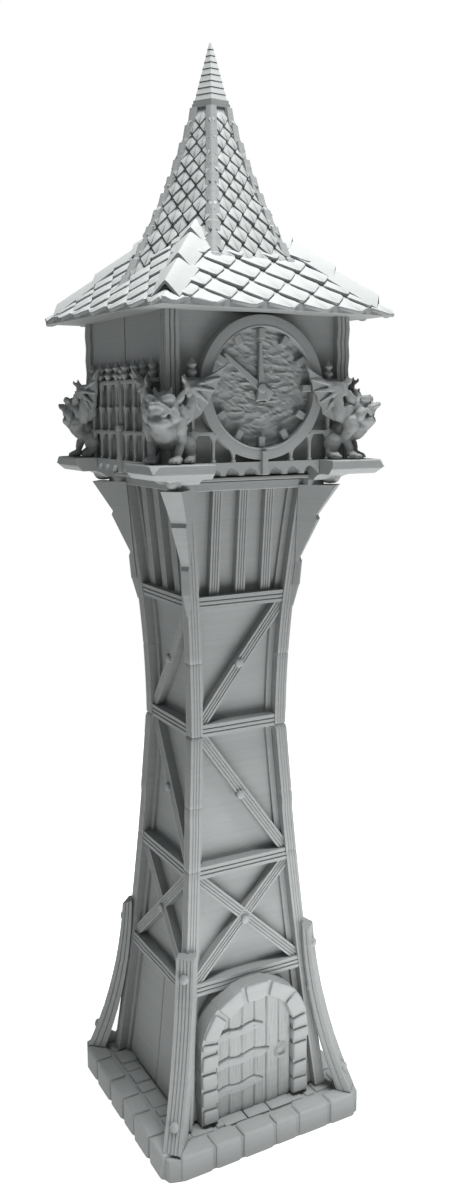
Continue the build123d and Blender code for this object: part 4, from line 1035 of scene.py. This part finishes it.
def on_slope(points):
    """Points drawn along the eave, up the slope and out from it, set on the front slope of the lower roof."""
    u, v, n = np.moveaxis(points, -1, 0)
    y = -roof_half + v * slope_cos - n * slope_sin
    return placed(u, y, eave_level + v * slope_sin + n * slope_cos)


def lapped(plans, lift, thickness):
    """Slates from outlines (along, up) and the height of each outline point: a crown a little drawn in over a
    full edge and a lower face a thickness below."""
    middle = plans.mean(axis=-2, keepdims=True)
    crown = np.concatenate([middle + (plans - middle) * 0.80, (lift + thickness * 0.10)[..., None]], axis=-1)
    brow = np.concatenate([middle + (plans - middle) * 0.95, lift[..., None]], axis=-1)
    edge = np.concatenate([plans, (lift - thickness * 0.22)[..., None]], axis=-1)
    under = np.concatenate([plans, (lift - thickness)[..., None]], axis=-1)
    return np.stack([under, edge, brow, crown], axis=-3)


chance = np.random.default_rng(8)
row, place = np.meshgrid(np.arange(slate_rows), np.arange(-4, 5), indexing="ij")
slate_u = ((place + 0.5 * (row % 2)) * slate_width).ravel()
slate_v = (row * slate_height / 2).ravel()
lozenge = np.array([
    [0.10, -0.47], [0.44, -0.06], [0.44, 0.05], [-0.06, 0.5], [-0.43, 0.05], [-0.43, -0.06], [0.02, -0.47],
])
slate_plans = rounded(lozenge * np.array([slate_width, slate_height]), slate_corner, 3)
lean = chance.normal(0, slate_sway, (slate_u.size, 1))
slate_plans = slate_plans + np.stack([lean * slate_plans[:, 1], -lean * slate_plans[:, 0]], axis=-1)
slate_tilt = slate_rise - slate_tip_rise * slate_plans[..., 1] / slate_height
slate_lift = slate_tilt * chance.uniform(0.8, 1.2, (slate_u.size, 1))
slate_plans = slate_plans + np.stack([slate_u, slate_v], axis=-1)[:, None]
eave_row = (np.arange(slate_u.size) < 9)[:, None]
slate_lift = slate_lift + eave_lift * eave_row * (slate_plans[..., 1] < 0)
hung = np.maximum(slate_plans[..., 1], chance.uniform(*eave_hangs, (slate_u.size, 1)))
slate_plans[..., 1] = np.where(eave_row, hung, np.maximum(slate_plans[..., 1], row_hang))
slate_limit = np.maximum(roof_half - slate_plans[..., 1] * slope_cos, 0.0)
inside = np.abs(slate_plans[..., 0]).min(axis=-1) < slate_limit.max(axis=-1) - slate_least
slate_plans[..., 0] = np.clip(slate_plans[..., 0], -slate_limit, slate_limit)
slates = around(on_slope(lapped(slate_plans, slate_lift, slate_thickness)[inside]), roof_sides)
slates[..., :2] = np.clip(slates[..., :2], -roof_reach, roof_reach)
settle(skin("lower_slates", slates), slate, "roof_print")
bed_halves = np.array([roof_half, roof_half, crown_half])[:, None]
bed_levels = np.array([deck_top - bed_foot, eave_level, eave_level + roof_rise])[:, None]
square = box_corners(-1.0, 1.0, -1.0, 1.0)
bed = placed(bed_halves * square[:, 0], bed_halves * square[:, 1], bed_levels)
settle(skin("lower_roof_bed", around(bed, roof_turn)), slate, "roof_print", "lower_roof")
board = slab(roof_half + eave_board_margin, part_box("roof_deck")[0][2], deck_top)
settle(skin("eave_board", around(board, roof_turn)), timber, "roof_print", "roof_deck")

# Hip caps: three V-shaped caps down each corner of the lower roof, the upper ones lapped over the lower.
# They are bent to a round ridge, and stand open at their lower ends.
hip_turns = np.array(corner_turns) + roof_turn
hip_halves = (0.0046, 0.0064)
hip_starts = np.array([0.0040, 0.0223, 0.0406])
hip_ends = np.array([0.0243, 0.0426, 0.0560])
hip_thickness = 0.0012
hip_base = 0.0012
hip_crowns = (0.0022, 0.0007)
hip_round = 0.012
hip_along = np.array([0.0, 0.03, 0.5, 1.0])
hip_side = np.array([-1.0, -0.98, -0.5, -0.16, 0.0, 0.16, 0.5, 0.98, 1.0])
hip_distance = hip_starts[:, None] + (hip_ends - hip_starts)[:, None] * hip_along
hip_length = np.sqrt(2 * roof_run**2 + roof_rise**2)
hip_reach = 2**0.5 * (roof_half - hip_distance * roof_run / hip_length)
hip_level = eave_level + hip_distance * roof_rise / hip_length
hip_half = (hip_halves[0] + (hip_halves[1] - hip_halves[0]) * hip_along)[:, None]
hip_fall = roof_pitch / 2**0.5 * hip_half * np.sqrt(hip_side**2 + hip_round)
hip_crown = (hip_crowns[0] + (hip_crowns[1] - hip_crowns[0]) * hip_along)[:, None]
hip_apex = hip_crown * (1 - np.abs(hip_side)) + hip_base
hip_over = hip_level[..., None] + hip_apex - hip_fall
hip_under = hip_over - hip_thickness * (1.0 - 0.5 * (np.abs(hip_side) > 0.97))
hip_z = np.concatenate([hip_over, hip_under[..., ::-1]], axis=-1)
hip_t = hip_half * np.concatenate([hip_side, hip_side[::-1]])
hip_rings = placed(hip_reach[..., None], hip_t, hip_z)
settle(skin("hip_tiles", around(hip_rings, hip_turns)), slate, "roof_print", "hip_caps")

# Spire: six bowed sides of small lozenge scales, three to the breadth of a side, so they shrink upwards,
# and ridge tiles that stand out at their upper ends. A skirt carries the sides down into the lower roof,
# and a cap of lipped courses closes the top.
spire_foot_reach = 0.0376
spire_foot_rise = 0.0057
spire_head_reach = 0.0069
spire_bow = 0.0019
side_share = np.cos(np.pi / 6)
scale_widths = (0.0070, 0.0045)
scale_row_share = 0.62
skirt_lap = 0.0020
skirt_inset = 0.0002
ridge_out = 0.00045
ridge_kick = 0.0011
ridge_thickness = 0.0011
ridge_halves = (0.0031, 0.0021)
cap_ease = 0.0001
spire_foot = (spire_foot_reach * side_share, deck_top + spire_foot_rise)
spire_head = (spire_head_reach * side_share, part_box("spire_cap")[0][2])
spire_lean = lean_of(spire_foot, spire_head, spire_bow)
spire_turns = roof_turn + 30 + 60 * np.arange(6)
spire_z = np.linspace(spire_foot[1], spire_head[1], 400)
spire_a = bowed(spire_z, spire_foot, spire_head, spire_lean)
spire_tilt = -np.gradient(spire_a, spire_z)
spire_run = np.concatenate([[0.0], np.cumsum(np.hypot(np.diff(spire_z), np.diff(spire_a)))])
scale_width = np.linspace(*scale_widths, 400)
scale_rows = np.concatenate([[0.0], np.cumsum(np.diff(spire_run) / (scale_row_share * scale_width[1:]))])
row_count = int(scale_rows[-1]) - 1


def on_spire(points):
    """Points drawn in scales along, rows up and millimetres out, set on one bowed side within its ridges."""
    along, rows, n = np.moveaxis(points, -1, 0)
    z = np.interp(rows, scale_rows, spire_z)
    width = np.interp(z, spire_z, scale_width)
    n = n * width / scale_width[0] / 1000
    a = np.interp(z, spire_z, spire_a)
    half = a * np.tan(np.pi / 6)
    tilt = np.interp(z, spire_z, spire_tilt)
    steep = np.sqrt(1 + tilt**2)
    return placed(a + n / steep, np.clip(along * width, -half, half), z + n * tilt / steep)


row, place = np.meshgrid(np.arange(0, row_count + 1), np.arange(-3, 4), indexing="ij")
scale_u = (place + 0.5 * (row % 2)).ravel()
scale_v = row.ravel().astype(float)
scale_plans = rounded(lozenge * np.array([1.06, 2.1]), 0.06, 2)
scale_lift = (0.50 - 0.62 * scale_plans[..., 1]) * chance.uniform(0.7, 1.3, (scale_u.size, 1))
scale_plans = scale_plans + np.stack([scale_u, scale_v], axis=-1)[:, None]
row_half = np.interp(scale_plans[..., 1], scale_rows, spire_a / scale_width) * np.tan(np.pi / 6)
inside = (np.abs(scale_plans[..., 0]) - row_half).min(axis=-1) < -0.1
scales = on_spire(lapped(scale_plans, scale_lift, 1.1)[inside])
settle(skin("spire_scales", around(scales, spire_turns)), slate, "roof_print")
skirt_z = np.linspace(spire_foot[1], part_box("spire")[0][2] + skirt_lap, 12)[:, None]
skirt_reach = bowed(skirt_z, spire_foot, spire_head, spire_lean) / side_share - skirt_inset
ridge_ways = np.radians(spire_turns + 30)
skirt = placed(skirt_reach * np.cos(ridge_ways), skirt_reach * np.sin(ridge_ways), skirt_z)
settle(skin("spire_skirt", skirt), slate, "roof_print")
spire_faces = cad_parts["spire"].data.materials
spire_faces.clear()
spire_faces.append(slate)
ridge_count = 11
ridge_share = np.linspace(0.0, 1.0, ridge_count + 1)
ridge_along = np.array([0.0, 0.04, 0.95, 0.99])
ridge_run = (ridge_share[:-1, None] + np.diff(ridge_share)[:, None] * ridge_along) * spire_run[-1]
ridge_z = np.interp(ridge_run, spire_run, spire_z)
ridge_reach = np.interp(ridge_z, spire_z, spire_a) / side_share + ridge_out + ridge_kick * ridge_along
ridge_half = np.interp(ridge_z, spire_z[[0, -1]], ridge_halves)
ridge_side = np.array([-1.0, -0.5, -0.14, 0.14, 0.5, 1.0])
ridge_w = np.concatenate([ridge_side, ridge_side[::-1]])
ridge_deep = np.concatenate([0 * ridge_side, 0 * ridge_side + ridge_thickness])
ridge_r = ridge_reach[..., None] - 0.5 * ridge_half[..., None] * np.abs(ridge_w) - ridge_deep
ridge_rings = placed(ridge_r, side_share * ridge_half[..., None] * ridge_w, ridge_z[..., None])
settle(skin("ridge_tiles", around(ridge_rings, spire_turns + 30)), slate, "roof_print", "ridge_caps")
eased(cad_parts["spire_cap"], slate, cap_ease, 1)

# Studio: a white floor that runs back without an edge, with a broad lamp over the tower and a low glow from
# the floor in front of it, in white surroundings.
floor_size = 0.45
floor_mesh = bpy.data.meshes.new("studio_floor")
corners = np.array([[-1, -1, 0], [1, -1, 0], [1, 1, 0], [-1, 1, 0]]) * floor_size
floor_mesh.from_pydata(corners, [], [(0, 1, 2, 3)])
floor = bpy.data.objects.new("studio_floor", floor_mesh)
bpy.context.scene.collection.objects.link(floor)
floor_paint = bpy.data.materials.new("white floor")
floor_paint.use_nodes = True
floor_shader = floor_paint.node_tree.nodes["Principled BSDF"]
floor_shader.inputs["Base Color"].default_value = (0.55, 0.55, 0.55, 1.0)
floor_shader.inputs["Roughness"].default_value = 0.9
floor_shader.inputs["Emission Color"].default_value = (1.0, 1.0, 1.0, 1.0)
floor_shader.inputs["Emission Strength"].default_value = 0.78
floor_mesh.materials.append(floor_paint)


def aimed(place, right, forward):
    """Matrix of a lamp or camera at a place, from the directions to its right and forward."""
    matrix = np.eye(4)
    matrix[:3, :3] = np.stack([right, np.cross(right, forward), -forward], axis=-1)
    matrix[:3, 3] = place
    return Matrix(matrix)


def lamp(name, place, target, size, power):
    """Square area lamp at a place, aimed at a target."""
    light = bpy.data.lights.new(name, "AREA")
    light.size = size
    light.energy = power
    holder = bpy.data.objects.new(name, light)
    forward = np.array(target, float) - np.array(place, float)
    forward /= np.linalg.norm(forward)
    right = np.cross(forward, (0.0, 1.0, 0.0) if abs(forward[2]) > 0.99 else (0.0, 0.0, 1.0))
    holder.matrix_world = aimed(place, right / np.linalg.norm(right), forward)
    bpy.context.scene.collection.objects.link(holder)


lamp("top lamp", (0.04, -0.09, 0.95), (0.0, 0.0, 0.2), 0.30, 16.0)
lamp("floor glow", (0.06, -0.20, 0.002), (0.06, -0.20, 0.3), 0.24, 0.9)
world = bpy.context.scene.world or bpy.data.worlds.new("studio")
bpy.context.scene.world = world
world.use_nodes = True
tree = world.node_tree
tree.nodes["Background"].inputs["Color"].default_value = (0.95, 0.98, 1.0, 1.0)
tree.nodes["Background"].inputs["Strength"].default_value = 0.24
seen = tree.nodes.new("ShaderNodeBackground")
seen.inputs["Color"].default_value = (1.0, 1.0, 1.0, 1.0)
seen.inputs["Strength"].default_value = 1.0
mix = tree.nodes.new("ShaderNodeMixShader")
path = tree.nodes.new("ShaderNodeLightPath")
tree.links.new(path.outputs["Is Camera Ray"], mix.inputs[0])
tree.links.new(tree.nodes["Background"].outputs[0], mix.inputs[1])
tree.links.new(seen.outputs[0], mix.inputs[2])
tree.links.new(mix.outputs[0], tree.nodes["World Output"].inputs["Surface"])

# Camera: a little over the balcony's height, to the left of the front, looking slightly down.
# Its place, turn and lens are fitted, so that the tower's corners fall where the photograph has them.
camera_place = np.array([-0.17916, -0.34008, 0.27544])
yaw, pitch, roll = np.radians([28.38, -10.45, -0.25])
forward = np.array([np.sin(yaw) * np.cos(pitch), np.cos(yaw) * np.cos(pitch), np.sin(pitch)])
level_right = np.array([np.cos(yaw), -np.sin(yaw), 0.0])
level_up = np.cross(level_right, forward)
right = np.cos(roll) * level_right + np.sin(roll) * level_up
camera = bpy.data.cameras.new("camera")
camera.lens = 30.893
camera.sensor_width = 36.0
camera.clip_start = 0.01
holder = bpy.data.objects.new("camera", camera)
holder.matrix_world = aimed(camera_place, right, forward)
bpy.context.scene.collection.objects.link(holder)
bpy.context.scene.camera = holder
bpy.context.scene.view_settings.view_transform = "Standard"
